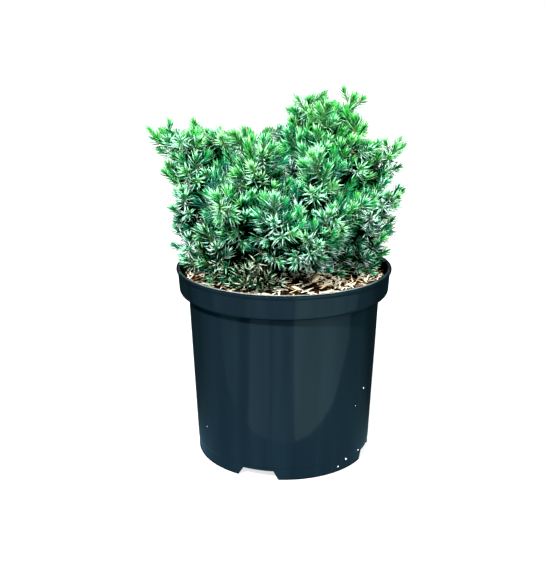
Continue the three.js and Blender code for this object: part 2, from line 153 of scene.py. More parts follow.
class Bend:
    """A quadratic Bezier curve in millimetres, with directions carried along it without twist."""

    def __init__(self, start: np.ndarray, middle: np.ndarray, end: np.ndarray) -> None:
        """Keep the curve's three control points."""
        self.start, self.middle, self.end = (np.asarray(p, float) for p in (start, middle, end))

    def point(self, share: np.ndarray | float) -> np.ndarray:
        """Return the point or points at a share of the curve's parameter."""
        t = np.asarray(share, float)[..., None]
        return (1 - t) ** 2 * self.start + 2 * (1 - t) * t * self.middle + t**2 * self.end

    def tangent(self, share: np.ndarray | float) -> np.ndarray:
        """Return the direction or directions at a share of the curve's parameter."""
        t = np.asarray(share, float)[..., None]
        return unit((1 - t) * (self.middle - self.start) + t * (self.end - self.middle))

    @cached_property
    def _lengths(self) -> tuple[np.ndarray, np.ndarray]:
        """Parameters along the curve, and the length of curve up to each."""
        shares = np.linspace(0, 1, CURVE_PARTS + 1)
        steps = np.linalg.norm(np.diff(self.point(shares), axis=0), axis=1)
        return shares, np.concatenate([[0.0], np.cumsum(steps)])

    @property
    def length(self) -> float:
        """The length of the curve."""
        return float(self._lengths[1][-1])

    @cached_property
    def frames(self) -> tuple[np.ndarray, np.ndarray, np.ndarray]:
        """Tangents, normals and binormals at even distances along the curve."""
        shares, run = self._lengths
        tangents = self.tangent(np.interp(np.linspace(0, run[-1], CURVE_FRAMES + 1), run, shares))
        least = np.abs(tangents[0]) == np.abs(tangents[0]).min()
        seed = np.zeros(3)
        seed[np.flatnonzero(least)[-1]] = 1.0
        normals = [np.cross(tangents[0], unit(np.cross(tangents[0], seed)))]
        for before, after in zip(tangents, tangents[1:]):
            axis, cosine, old = np.cross(before, after), float(before @ after), normals[-1]
            normals.append(unit(old * cosine + np.cross(axis, old) + axis * (axis @ old) / (1 + cosine)))
        across = np.array(normals)
        return tangents, across, np.cross(tangents, across)

    def frame(self, share: np.ndarray | float) -> tuple[np.ndarray, np.ndarray, np.ndarray]:
        """Return the tangent, normal and binormal, or rows of them, nearest to a share of the curve."""
        index = np.rint(np.asarray(share) * CURVE_FRAMES).astype(int)
        tangents, normals, binormals = self.frames
        return tangents[index], normals[index], binormals[index]

    def side(self, share: float, angle: float) -> np.ndarray:
        """Return the direction square to the curve at a share of it, turned by an angle in radians."""
        _, normal, binormal = self.frame(share)
        return math.cos(angle) * normal + math.sin(angle) * binormal


# ---------------------------------------------------------------- finishes


@dataclass(frozen=True)
class Pattern:
    """A noise on Object coordinates, in metres, stretched by its own scale along each axis."""

    scale: float
    detail: float
    stretch: Triple = (1.0, 1.0, 1.0)


class Shading:
    """The nodes of one material, put together step by step round a Principled shader."""

    def __init__(self, name: str) -> None:
        """Make a material that holds only its shader and its output."""
        self.material = bpy.data.materials.new(name)
        self.material.use_nodes = True
        self.tree = self.material.node_tree
        self.shader = self.tree.nodes["Principled BSDF"]

    def add(self, kind: str, settings: dict[str, object] | None = None, **inputs: object) -> bpy.types.Node:
        """Add a node.

        Args:
            kind: The node's type, without its ShaderNode prefix.
            settings: Values of the node's own properties.
            **inputs: Values or output sockets for its input sockets, with spaces written as underscores.

        Returns:
            The new node.
        """
        node = self.tree.nodes.new(f"ShaderNode{kind}")
        for key, value in (settings or {}).items():
            setattr(node, key, value)
        self.wire(node, inputs)
        return node

    def wire(self, node: bpy.types.Node, inputs: dict[str, object]) -> None:
        """Set a node's inputs, whose names have underscores for spaces."""
        for key, value in inputs.items():
            self.feed(node, key.replace("_", " "), value)

    def coat(self, **inputs: object) -> Material:
        """Set the shader's inputs, as add does for a node, and return the material."""
        self.wire(self.shader, inputs)
        return self.material

    def feed(self, node: bpy.types.Node, socket: str | int, value: object) -> None:
        """Set an input socket to a value, or link it to an output socket."""
        if isinstance(value, Socket):
            self.tree.links.new(value, node.inputs[socket])
        else:
            node.inputs[socket].default_value = value

    def ramp(self, source: Socket, stops: Sequence[tuple[float, str]]) -> Socket:
        """Colour a number by a row of stops.

        Args:
            source: The number's socket.
            stops: Places from 0 to 1, each with its display colour, in rising order.

        Returns:
            The colour's socket.
        """
        node = self.add("ValToRGB", Fac=source)
        elements = node.color_ramp.elements
        for element, (place, code) in zip(elements, (stops[0], stops[-1])):
            element.position, element.color = place, linear(code)
        for place, code in stops[1:-1]:
            elements.new(place).color = linear(code)
        return node.outputs["Color"]

    def span(self, source: Socket, low: float, high: float) -> Socket:
        """Return a number from 0 to 1 stretched over the span from low to high."""
        return self.add("MapRange", Value=source, To_Min=low, To_Max=high).outputs["Result"]

    def math(self, operation: str, *values: Socket | float) -> Socket:
        """Return the number that an operation makes of others, which are sockets or plain numbers."""
        node = self.add("Math", {"operation": operation})
        for number, value in enumerate(values):
            self.feed(node, number, value)
        return node.outputs["Value"]

    def noise(self, pattern: Pattern) -> Socket:
        """Return the number that a pattern has at each place."""
        place = self.add("TexCoord").outputs["Object"]
        scaled = self.add("Mapping", Vector=place, Scale=pattern.stretch).outputs["Vector"]
        return self.add("TexNoise", Vector=scaled, Scale=pattern.scale, Detail=pattern.detail).outputs["Fac"]

    def bumped(self, height: Socket, relief: Span, **under: Socket) -> Socket:
        """Return the normal of a relief, on top of another Normal where one is given.

        Args:
            height: The number that raises it.
            relief: Its strength, and its depth in metres.
            **under: The other normal.

        Returns:
            The normal's socket.
        """
        strength, distance = relief
        node = self.add("Bump", Strength=strength, Distance=distance, Height=height, **under)
        return node.outputs["Normal"]


@dataclass(frozen=True)
class PlainCoat:
    """A finish that is one colour all over, for small things whose colour is dealt out piece by piece."""

    name: str
    colour: str
    roughness: float = 0.5
    specular: float = 0.4

    def material(self) -> Material:
        """Return the finish as a material."""
        colour = linear(self.colour)
        return Shading(self.name).coat(
            Base_Color=colour, Roughness=self.roughness, Specular_IOR_Level=self.specular
        )


@dataclass(frozen=True)
class MouldedPlastic:
    """Semi-gloss polypropylene with faint upright flow marks, a fine grain and a painted highlight along the
    mouth's inner edge.
    """

    name: str = "pot_plastic"
    stops: tuple[tuple[float, str], ...] = ((0.32, "0e181e"), (0.7, "121f26"))
    specular: float = 0.42
    gloss: Span = (0.05, 0.1)  # least and most roughness
    wear: Pattern = Pattern(60.0, 5.0, (1.0, 1.0, 0.6))
    streaks: Pattern = Pattern(1.0, 4.0, (95.0, 95.0, 3.5))
    streak_relief: Span = (0.1, 0.0004)
    grain: Pattern = Pattern(1500.0, 2.0)
    grain_relief: Span = (0.12, 0.00012)
    # A pale line along the inner edge of the mouth, strongest in front, is a painted highlight.
    highlight_colour: str = "c4ccc8"
    edge: Span = (0.083, 0.0008)  # radius and half width of the painted highlight on the mouth's inner edge
    edge_height: float = 0.1522
    edge_front: Span = (-0.04, -0.075)  # depths at which the painted highlight sets in and is full, towards the front
    edge_rest: float = 0.05  # share of it left at the sides and behind
    patches: Pattern = Pattern(220.0, 4.0)
    patch_share: Span = (0.3, 1.0)  # of the painted highlight, in its weakest and strongest patches

    def material(self) -> Material:
        """Return the finish as a material."""
        shading = Shading(self.name)
        streaks = shading.noise(self.streaks)
        colour = shading.ramp(streaks, self.stops)
        # The colour takes in the painted highlight.
        highlighted = shading.add("MixRGB", Fac=self.painted_highlight(shading), Color1=colour, Color2=linear(self.highlight_colour))
        grain = shading.bumped(shading.noise(self.grain), self.grain_relief)
        return shading.coat(
            Base_Color=highlighted.outputs["Color"],
            Roughness=shading.span(shading.noise(self.wear), *self.gloss),
            Normal=shading.bumped(streaks, self.streak_relief, Normal=grain),
            Specular_IOR_Level=self.specular,
        )

    def painted_highlight(self, shading: Shading) -> Socket:
        """Return the painted highlight: how pale the plastic is painted along the inner edge of the mouth,
        most in front.
        """
        place = shading.add("TexCoord").outputs["Object"]
        flat = shading.add("Mapping", Vector=place, Scale=(1.0, 1.0, 0.0)).outputs["Vector"]
        radius = shading.add("VectorMath", {"operation": "LENGTH"}, Vector=flat).outputs["Value"]
        parts = shading.add("SeparateXYZ", Vector=place).outputs
        ring = shading.math("COMPARE", radius, *self.edge)
        top = shading.math("GREATER_THAN", parts["Z"], self.edge_height)
        patches = shading.span(shading.noise(self.patches), *self.patch_share)
        start, full = self.edge_front
        front = shading.add(
            "MapRange", Value=parts["Y"], From_Min=start, From_Max=full, To_Min=self.edge_rest
        )
        edge = shading.math("MULTIPLY", ring, top)
        return shading.math("MULTIPLY", shading.math("MULTIPLY", edge, patches), front.outputs["Result"])


@dataclass(frozen=True)
class RoughMatter:
    """A dull finish whose colour and relief follow one pattern: its own mottling, with painted shade where
    the relief sinks.
    """

    name: str
    pattern: Pattern
    stops: tuple[tuple[float, str], ...]
    roughness: float
    relief: Span

    def material(self) -> Material:
        """Return the finish as a material."""
        shading = Shading(self.name)
        pattern = shading.noise(self.pattern)
        return shading.coat(
            Base_Color=shading.ramp(pattern, self.stops),
            Roughness=self.roughness,
            Normal=shading.bumped(pattern, self.relief),
        )


@dataclass(frozen=True)
class FlakingBark(RoughMatter):
    """Thin red-brown bark that splits along the limb, darker in its hollows: partly the bark's own colour,
    partly painted shade.
    """

    name: str = "juniper_bark"
    pattern: Pattern = Pattern(420.0, 6.0, (1.0, 1.0, 0.22))
    stops: tuple[tuple[float, str], ...] = ((0.3, "2f211a"), (0.5, "6a4632"), (0.72, "9a7352"))
    roughness: float = 0.86
    relief: Span = (0.7, 0.0006)


@dataclass(frozen=True)
class DampHumus(RoughMatter):
    """Dark crumbled peat and bark dust."""

    name: str = "potting_mix"
    pattern: Pattern = Pattern(520.0, 6.0)
    stops: tuple[tuple[float, str], ...] = ((0.3, "0b0705"), (0.52, "1d150f"), (0.75, "3f2e20"))
    roughness: float = 0.95
    relief: Span = (0.9, 0.0012)


BACK_SHEEN = (0.48, 0.4)  # roughness and specular of a needle's back
FACE_SHEEN = (0.62, 0.3)  # and of its face


class Tint(Enum):
    """The colours of needles: each has the green of the back and the bloom of the face. Three of them, marked
    below, are painted shade and painted shadow.
    """

    LIME = ("3cae4a", "b0f6ae")
    SPRING = ("26964e", "aaf6c0")
    LEAF = ("1c8252", "a6f6ca")
    TEAL = ("167054", "c0fce2")
    FROST = ("246256", "e6fffa")
    # painted shade: needles partly covered by others
    DEEP = ("062814", "26683f")
    # painted shade: needles deep under others, nearly black
    SHADE = ("020f07", "0a2614")
    # painted shadow: grey needles in masses that lie under others
    DUSK = ("1a2515", "c2d0b4")
    DRY = ("5d4a2c", "a08a60")

    def coats(self) -> tuple[PlainCoat, PlainCoat]:
        """Return the finishes of the back and of the face."""
        label, (back, face) = self.name.lower(), self.value
        return PlainCoat(f"needle_{label}", back, *BACK_SHEEN), PlainCoat(f"bloom_{label}", face, *FACE_SHEEN)

    @property
    def number(self) -> int:
        """The place of the tint in the row of all tints."""
        return list(Tint).index(self)


# ---------------------------------------------------------------- meshes


def placed(name: str, data: bpy.types.ID) -> Piece:
    """Put data into the scene as an object, and return the object."""
    thing = bpy.data.objects.new(name, data)
    bpy.context.scene.collection.objects.link(thing)
    return thing


def dressed(name: str, mesh: Mesh, finishes: Iterable[Material]) -> Piece:
    """Make a piece of the plant or its pot from a mesh.

    Args:
        name: The piece's name.
        mesh: Its mesh, already in place.
        finishes: Its materials, in the order of the mesh's material numbers.

    Returns:
        The piece, riding on the only body.
    """
    piece = placed(name, mesh)
    for finish in finishes:
        mesh.materials.append(finish)
    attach(piece, "root")
    LOG.info("%s: %d faces", name, len(mesh.polygons))
    return piece


class Facets:
    """Triangles gathered from many small things, which are joined to a few pieces."""

    def __init__(self) -> None:
        """Start with no triangles."""
        self.points: list[np.ndarray] = []
        self.triangles: list[np.ndarray] = []
        self.numbers: list[np.ndarray] = []
        self.count = 0

    def add(self, points: np.ndarray, triangles: np.ndarray, numbers: np.ndarray | int = 0) -> None:
        """Take in one thing or several of a kind.

        Args:
            points: Corners in millimetres, as rows of three, or as one such table for each thing.
            triangles: Corner numbers of one thing's triangles.
            numbers: The material number of each triangle, or of all.
        """
        tables = points.reshape(-1, points.shape[-2], 3)
        offsets = self.count + np.arange(len(tables)) * tables.shape[1]
        self.points.append(tables.reshape(-1, 3))
        self.triangles.append((triangles[None] + offsets[:, None, None]).reshape(-1, 3))
        self.numbers.append(np.tile(np.broadcast_to(numbers, len(triangles)), len(tables)))
        self.count += tables.shape[0] * tables.shape[1]

    def mesh(self, name: str) -> Mesh:
        """Return everything gathered as one mesh in metres."""
        points, triangles = np.concatenate(self.points) * MM, np.concatenate(self.triangles)
        mesh = bpy.data.meshes.new(name)
        mesh.vertices.add(len(points))
        mesh.vertices.foreach_set("co", points.astype(np.float32).ravel())
        mesh.loops.add(triangles.size)
        mesh.loops.foreach_set("vertex_index", triangles.astype(np.int32).ravel())
        mesh.polygons.add(len(triangles))
        mesh.polygons.foreach_set("loop_start", np.arange(0, triangles.size, 3, dtype=np.int32))
        mesh.polygons.foreach_set("material_index", np.concatenate(self.numbers).astype(np.int32))
        mesh.update(calc_edges=True)
        return mesh


def walls(sides: int, spans: int = 1) -> np.ndarray:
    """Return the triangles of the walls between rings of corners that are numbered one after the other."""
    rim, after = np.arange(sides), (np.arange(sides) + 1) % sides
    wall = np.stack([rim, after, after + sides, rim, after + sides, rim + sides], axis=1).reshape(-1, 3)
    return (wall + np.arange(spans)[:, None, None] * sides).reshape(-1, 3)


def tube(
    points: np.ndarray, across: np.ndarray, radii: np.ndarray, sides: int
) -> tuple[np.ndarray, np.ndarray]:
    """Work out a closed tube with pointed ends along a row of points.

    Args:
        points: The middle line, one row for each ring.
        across: Two directions square to the line at each ring, as an array of rings by two by three.
        radii: The radius of each ring.
        sides: Corners in a ring.

    Returns:
        The tube's corners and its triangles.
    """
    turn = (np.arange(sides) * 2 * np.pi / sides)[:, None]
    spokes = np.cos(turn) * across[:, None, 0] + np.sin(turn) * across[:, None, 1]
    rings = points[:, None] + spokes * radii[:, None, None]
    corners = np.concatenate([rings.reshape(-1, 3), points[:1], points[-1:]])
    rim, after = np.arange(sides), (np.arange(sides) + 1) % sides
    last = (len(points) - 1) * sides
    foot = np.stack([after, rim, np.full(sides, len(corners) - 2)], axis=1)
    top = np.stack([last + rim, last + after, np.full(sides, len(corners) - 1)], axis=1)
    return corners, np.concatenate([walls(sides, len(points) - 1), foot, top])


@dataclass(frozen=True)
class NeedleForm:
    """A needle: a keeled awl with a flat face, a little hooked, and a sharp point."""

    stations: tuple[float, ...] = (0.0, 0.45)  # shares of the length, before the point
    widths: tuple[float, ...] = (0.72, 1.0)  # shares of the whole width
    keel: float = 0.5  # depth of the keel, as a share of the width

    @property
    def triangles(self) -> np.ndarray:
        """Corner numbers of the triangles: left edge, right edge and keel at each station, then the point."""
        rows, last, point = [(0, 2, 1)], 3 * (len(self.stations) - 1), 3 * len(self.stations)
        around = ((0, 1), (1, 2), (2, 0))
        for base in range(0, last, 3):
            for a, b in around:
                rows += [(base + a, base + b, base + b + 3), (base + a, base + b + 3, base + a + 3)]
        return np.array(rows + [(last + a, last + b, point) for a, b in around])

    @property
    def sides(self) -> np.ndarray:
        """For each triangle, 1 on the pale face and 0 on the back."""
        spans = len(self.stations) - 1
        return np.array([0] + [1, 1, 0, 0, 0, 0] * spans + [1, 0, 0])

    def corners(self, needles: "Needles") -> np.ndarray:
        """Return the corners of many needles, as a table for each."""
        across = np.cross(needles.heading, needles.face)
        long, wide = needles.length[:, None], needles.width[:, None]
        table = []
        for station, share in zip((*self.stations, 1.0), (*self.widths, 0.0)):
            lift = needles.hook[:, None] * long * station**2
            middle = needles.foot + needles.heading * long * station + needles.face * lift
            if share == 0.0:
                table.append(middle)
            else:
                half = across * wide * share / 2
                table += [middle - half, middle + half, middle - needles.face * wide * share * self.keel]
        return np.stack(table, axis=1)


@dataclass
class Needles:
    """Many needles: rows of where each stands, how it points and which way its pale face looks."""

    foot: np.ndarray
    heading: np.ndarray
    face: np.ndarray
    length: np.ndarray
    width: np.ndarray
    hook: np.ndarray
    tint: np.ndarray
    shade: np.ndarray

    def kept(self, mask: np.ndarray) -> "Needles":
        """Return only the needles that a mask names."""
        return Needles(*(getattr(self, name)[mask] for name in self.__dataclass_fields__))

    @staticmethod
    def joined(batches: Sequence["Needles"]) -> "Needles":
        """Return several batches as one."""
        names = Needles.__dataclass_fields__
        return Needles(*(np.concatenate([getattr(batch, name) for batch in batches]) for name in names))


def turned(profile: Sequence[Span], steps: int) -> Shape:
    """Spin a closed shape from a profile.

    Args:
        profile: Radius and height in millimetres, from the axis back to the axis.
        steps: Parts in the full turn.

    Returns:
        The shape in metres, with its faces pointing outwards.
    """
    shape = bmesh.new()
    line = [shape.verts.new((radius * MM, 0, height * MM)) for radius, height in profile]
    edges = [shape.edges.new(pair) for pair in zip(line, line[1:])]
    bmesh.ops.spin(
        shape,
        geom=line + edges,
        cent=(0, 0, 0),
        axis=(0, 0, 1),
        angle=2 * math.pi,
        steps=steps,
        use_merge=True,
    )
    bmesh.ops.remove_doubles(shape, verts=shape.verts, dist=WELD)
    bmesh.ops.recalc_face_normals(shape, faces=shape.faces)
    return shape


def rounded(corners: Sequence[Triple], steps: int = 4) -> list[Span]:
    """Round the corners of a profile.

    Args:
        corners: Radius, height and radius of rounding, in order. A rounding of 0 keeps the corner sharp.
        steps: Parts in each rounded corner.

    Returns:
        The profile as radius and height.
    """
    profile = []
    for i, (radius, height, rounding) in enumerate(corners):
        here = np.array([radius, height], float)
        if rounding == 0 or i in (0, len(corners) - 1):
            profile.append(here)
            continue
        back = unit(np.array(corners[i - 1][:2], float) - here)
        ahead = unit(np.array(corners[i + 1][:2], float) - here)
        for t in (k / steps for k in range(steps + 1)):
            profile.append(here + (1 - t) ** 2 * rounding * back + t**2 * rounding * ahead)
    return [(float(radius), float(height)) for radius, height in profile]


def plain(shape: Shape, name: str) -> Mesh:
    """Make a mesh of a bmesh, and free the bmesh."""
    mesh = bpy.data.meshes.new(name)
    shape.to_mesh(mesh)
    shape.free()
    return mesh


def shaded(shape: Shape, name: str, sharp: float = 38.0) -> Mesh:
    """Make a smooth mesh whose edges past an angle in degrees stay sharp, and free the bmesh."""
    for face in shape.faces:
        face.smooth = True
    for edge in shape.edges:
        edge.smooth = edge.calc_face_angle(0.0) < math.radians(sharp)
    return plain(shape, name)


def cut(mesh: Mesh, tool: Mesh) -> Mesh:
    """Cut one closed mesh out of another.

    Args:
        mesh: What is cut.
        tool: The shape that goes, which is removed afterwards.

    Returns:
        The new mesh.
    """
    body, cutter = (placed(each.name, each) for each in (mesh, tool))
    boolean = body.modifiers.new("cut", "BOOLEAN")
    boolean.operation, boolean.solver, boolean.object = "DIFFERENCE", "EXACT", cutter
    made = bpy.data.meshes.new_from_object(body.evaluated_get(bpy.context.evaluated_depsgraph_get()))
    for each in (body, cutter):
        bpy.data.objects.remove(each)
    return made


# ---------------------------------------------------------------- the pot


@dataclass
class NurseryPot:
    """A thin-walled round pot with a straight collar, a beaded lip and four drainage pockets in its base."""

    height: float = 153.0
    rim_radius: float = 85.0
    lip_depth: float = 3.0
    lip_proud: float = 1.3
    collar_height: float = 20.6
    collar_foot_radius: float = 82.7
    collar_round: float = 2.72
    collar_top: Span = (0.7, 1.0)  # how far under the lip the collar ends, and the rounding there
    lip_bead: float = 1.2  # height over the lip's foot at which it is widest
    lip_rounds: Triple = (0.9, 0.7, 0.6)  # there, at its outer edge and at its inner edge
    ledge_rise: float = 1.4
    wall_top_radius: float = 75.7
    wall_top_round: float = 0.8
    wall_ends: Span = (2.5, 2.0)  # over the step and under the ledge, where the wall's shading runs straight
    base_radius: float = 69.9
    base_round: float = 1.4
    wall: float = 1.6
    foot_ring: Span = (9.5, 0.35)  # height of the step over the base, and its depth
    foot_ring_top: Span = (0.9, 0.02)  # height of its upper edge over it, and how far that stands out
    foot_ring_round: float = 0.3
    pocket_count: int = 4
    pocket_azimuth: float = -16.5
    pocket_widths: Span = (33.0, 25.0)  # at the ground and at the top
    pocket_height: float = 7.5
    pocket_depth: float = 28.0
    pocket_overrun: float = 10.0
    hole_radius: float = 5.0
    hole_inset: float = 14.0
    hole_sides: int = 24
    steps: int = 144
    speck_form: Triple = (1.0, 0.5, 1.2)  # width, depth and height of grit, as shares
    # Grit on the wall: azimuth, height and radius.
    specks: tuple[Triple, ...] = (
        (44.7, 8.4, 0.75),
        (37.8, 4.6, 0.6),
        (58.2, 9.9, 0.6),
        (59.6, 63.2, 0.7),
        (51.0, 52.0, 0.35),
        (-58.0, 30.0, 0.35),
    )

    @classmethod
    def from_frame(cls) -> "NurseryPot":
        """Return the pot at the height and width of the construction model's."""
        low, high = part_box("pot")
        return cls(height=(high.z - low.z) / MM, rim_radius=(high.x - low.x) / 2 / MM)

    def wall_radius(self, height: float) -> float:
        """Return the radius of the wall's outside at a height under the collar."""
        share = (height - self.base_round) / (self.height - self.collar_height - self.base_round)
        return blend(self.base_radius, self.wall_top_radius, min(max(share, 0.0), 1.0))

    def outside(self, inset: float, ringed: bool) -> list[Triple]:
        """Return the outside's corners and roundings from the base to the mouth, drawn in by an inset."""
        foot = self.height - self.collar_height
        ring_height, ring_depth = self.foot_ring
        corners = [(self.base_radius, 0.0, self.base_round)]
        if ringed:
            at, (rise, proud) = self.wall_radius(ring_height), self.foot_ring_top
            for radius, height in ((at - ring_depth, ring_height), (at + proud, ring_height + rise)):
                corners.append((radius, height, self.foot_ring_round))
        low, high = self.wall_ends
        for height in (ring_height + low, foot - high):
            corners.append((self.wall_radius(height), height, 0.0))
        corners += [
            (self.wall_top_radius, foot, self.wall_top_round),
            (self.collar_foot_radius, foot + self.ledge_rise, self.collar_round),
        ]
        drawn = [(radius - inset, height + inset, rounding) for radius, height, rounding in corners]
        under, rounding = self.collar_top
        top = self.height - self.lip_depth - under
        return [*drawn, (self.rim_radius - self.lip_proud - inset, top, rounding)]

    @property
    def pocket_azimuths(self) -> list[float]:
        """The azimuths of the drainage pockets, in degrees."""
        return [self.pocket_azimuth + k * 360 / self.pocket_count for k in range(self.pocket_count)]

    def pocket_cutters(self, skin: float) -> Shape:
        """Return the shapes of the drainage pockets, grown by a skin all round."""
        shape = bmesh.new()
        foot, top = (width / 2 + skin for width in self.pocket_widths)
        start = self.base_radius - self.pocket_depth - skin
        reach = self.base_radius + self.pocket_overrun - start
        ceiling, floor = self.pocket_height + skin, -self.pocket_overrun
        outline = ((-foot, floor), (foot, floor), (foot, 0), (top, ceiling), (-top, ceiling), (-foot, 0))
        for azimuth in self.pocket_azimuths:
            turn = Matrix.Rotation(math.radians(azimuth), 4, "Z")
            corners = [shape.verts.new((x * MM, -start * MM, z * MM)) for x, z in outline]
            face = shape.faces.new(corners)
            grown = bmesh.ops.extrude_face_region(shape, geom=[face])["geom"]
            moved = [item for item in grown if isinstance(item, bmesh.types.BMVert)]
            bmesh.ops.translate(shape, verts=moved, vec=(0, -reach * MM, 0))
            bmesh.ops.transform(shape, matrix=turn, verts=corners + moved)
        bmesh.ops.recalc_face_normals(shape, faces=shape.faces)
        return shape

    def hole_cutters(self) -> Shape:
        """Return the shapes of the drain holes, one in the roof of each pocket."""
        shape = bmesh.new()
        for azimuth in self.pocket_azimuths:
            centre = polar(azimuth, self.base_radius - self.hole_inset, self.pocket_height) * MM
            bmesh.ops.create_cone(
                shape,
                cap_ends=True,
                segments=self.hole_sides,
                radius1=self.hole_radius * MM,
                radius2=self.hole_radius * MM,
                depth=2 * self.pocket_height * MM,
                matrix=Matrix.Translation(centre),
            )
        return shape

    def build(self) -> Piece:
        """Build the pot and return its piece."""
        bead, outer_edge, inner_edge = self.lip_rounds
        lip = [
            (self.rim_radius, self.height - self.lip_depth + self.lip_bead, bead),
            (self.rim_radius, self.height, outer_edge),
            (self.rim_radius - self.lip_proud - self.wall, self.height, inner_edge),
        ]
        outer = [(0.0, 0.0, 0.0), *self.outside(0.0, True), *lip, (0.0, self.height, 0.0)]
        inner = self.outside(self.wall, False)
        mouth = inner[-1][0]
        above = self.height + self.wall
        hollow = [(0.0, self.wall, 0.0), *inner, (mouth, above, 0.0), (0.0, above, 0.0)]
        shell = shaded(turned(rounded(outer), self.steps), "pot_outside")
        cavity = shaded(turned(rounded(hollow), self.steps), "pot_cavity")
        cavity = cut(cavity, shaded(self.pocket_cutters(self.wall), "pocket_roofs"))
        shell = cut(shell, cavity)
        shell = cut(shell, shaded(self.pocket_cutters(0.0), "pockets"))
        shell = cut(shell, shaded(self.hole_cutters(), "drain_holes"))
        shape = bmesh.new()
        shape.from_mesh(shell)
        pot = dressed("pot_shell", shaded(shape, "pot_shell"), [MouldedPlastic().material()])
        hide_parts("pot")
        return pot

    def build_specks(self) -> Piece:
        """Build the pale grit that clings to the wall and return its piece."""
        shape = bmesh.new()
        for azimuth, height, radius in self.specks:
            centre = polar(azimuth, self.wall_radius(height), height) * MM
            turn = Matrix.Rotation(math.radians(azimuth), 4, "Z") @ Matrix.Diagonal((*self.speck_form, 1))
            place = Matrix.Translation(centre) @ turn
            bmesh.ops.create_icosphere(shape, subdivisions=2, radius=radius * MM, matrix=place)
        grit = PlainCoat("grit", "dfe6ea").material()
        return dressed("wall_grit", shaded(shape, "wall_grit"), [grit])


# ---------------------------------------------------------------- the potting mix


# The colours of bark chips and of slivers, with the share of each. The palest chips have places of their own.
CHIPS = (
    (PlainCoat("chip_dark", "0f0a07", 0.9, 0.2), 0.5),
    (PlainCoat("chip_brown", "2e1d13", 0.9, 0.2), 0.32),
    (PlainCoat("chip_rust", "633820", 0.88, 0.2), 0.14),
    (PlainCoat("chip_tan", "a58a64", 0.88, 0.2), 0.04),
    (PlainCoat("chip_pale", "fff0c4", 0.85, 0.2), 0.0),
)
SLIVERS = (
    (PlainCoat("sliver_cream", "fff8e0", 0.8, 0.2), 0.58),
    (PlainCoat("sliver_straw", "ead8ae", 0.8, 0.2), 0.27),
    (PlainCoat("sliver_brown", "8a6a48", 0.85, 0.2), 0.15),
)


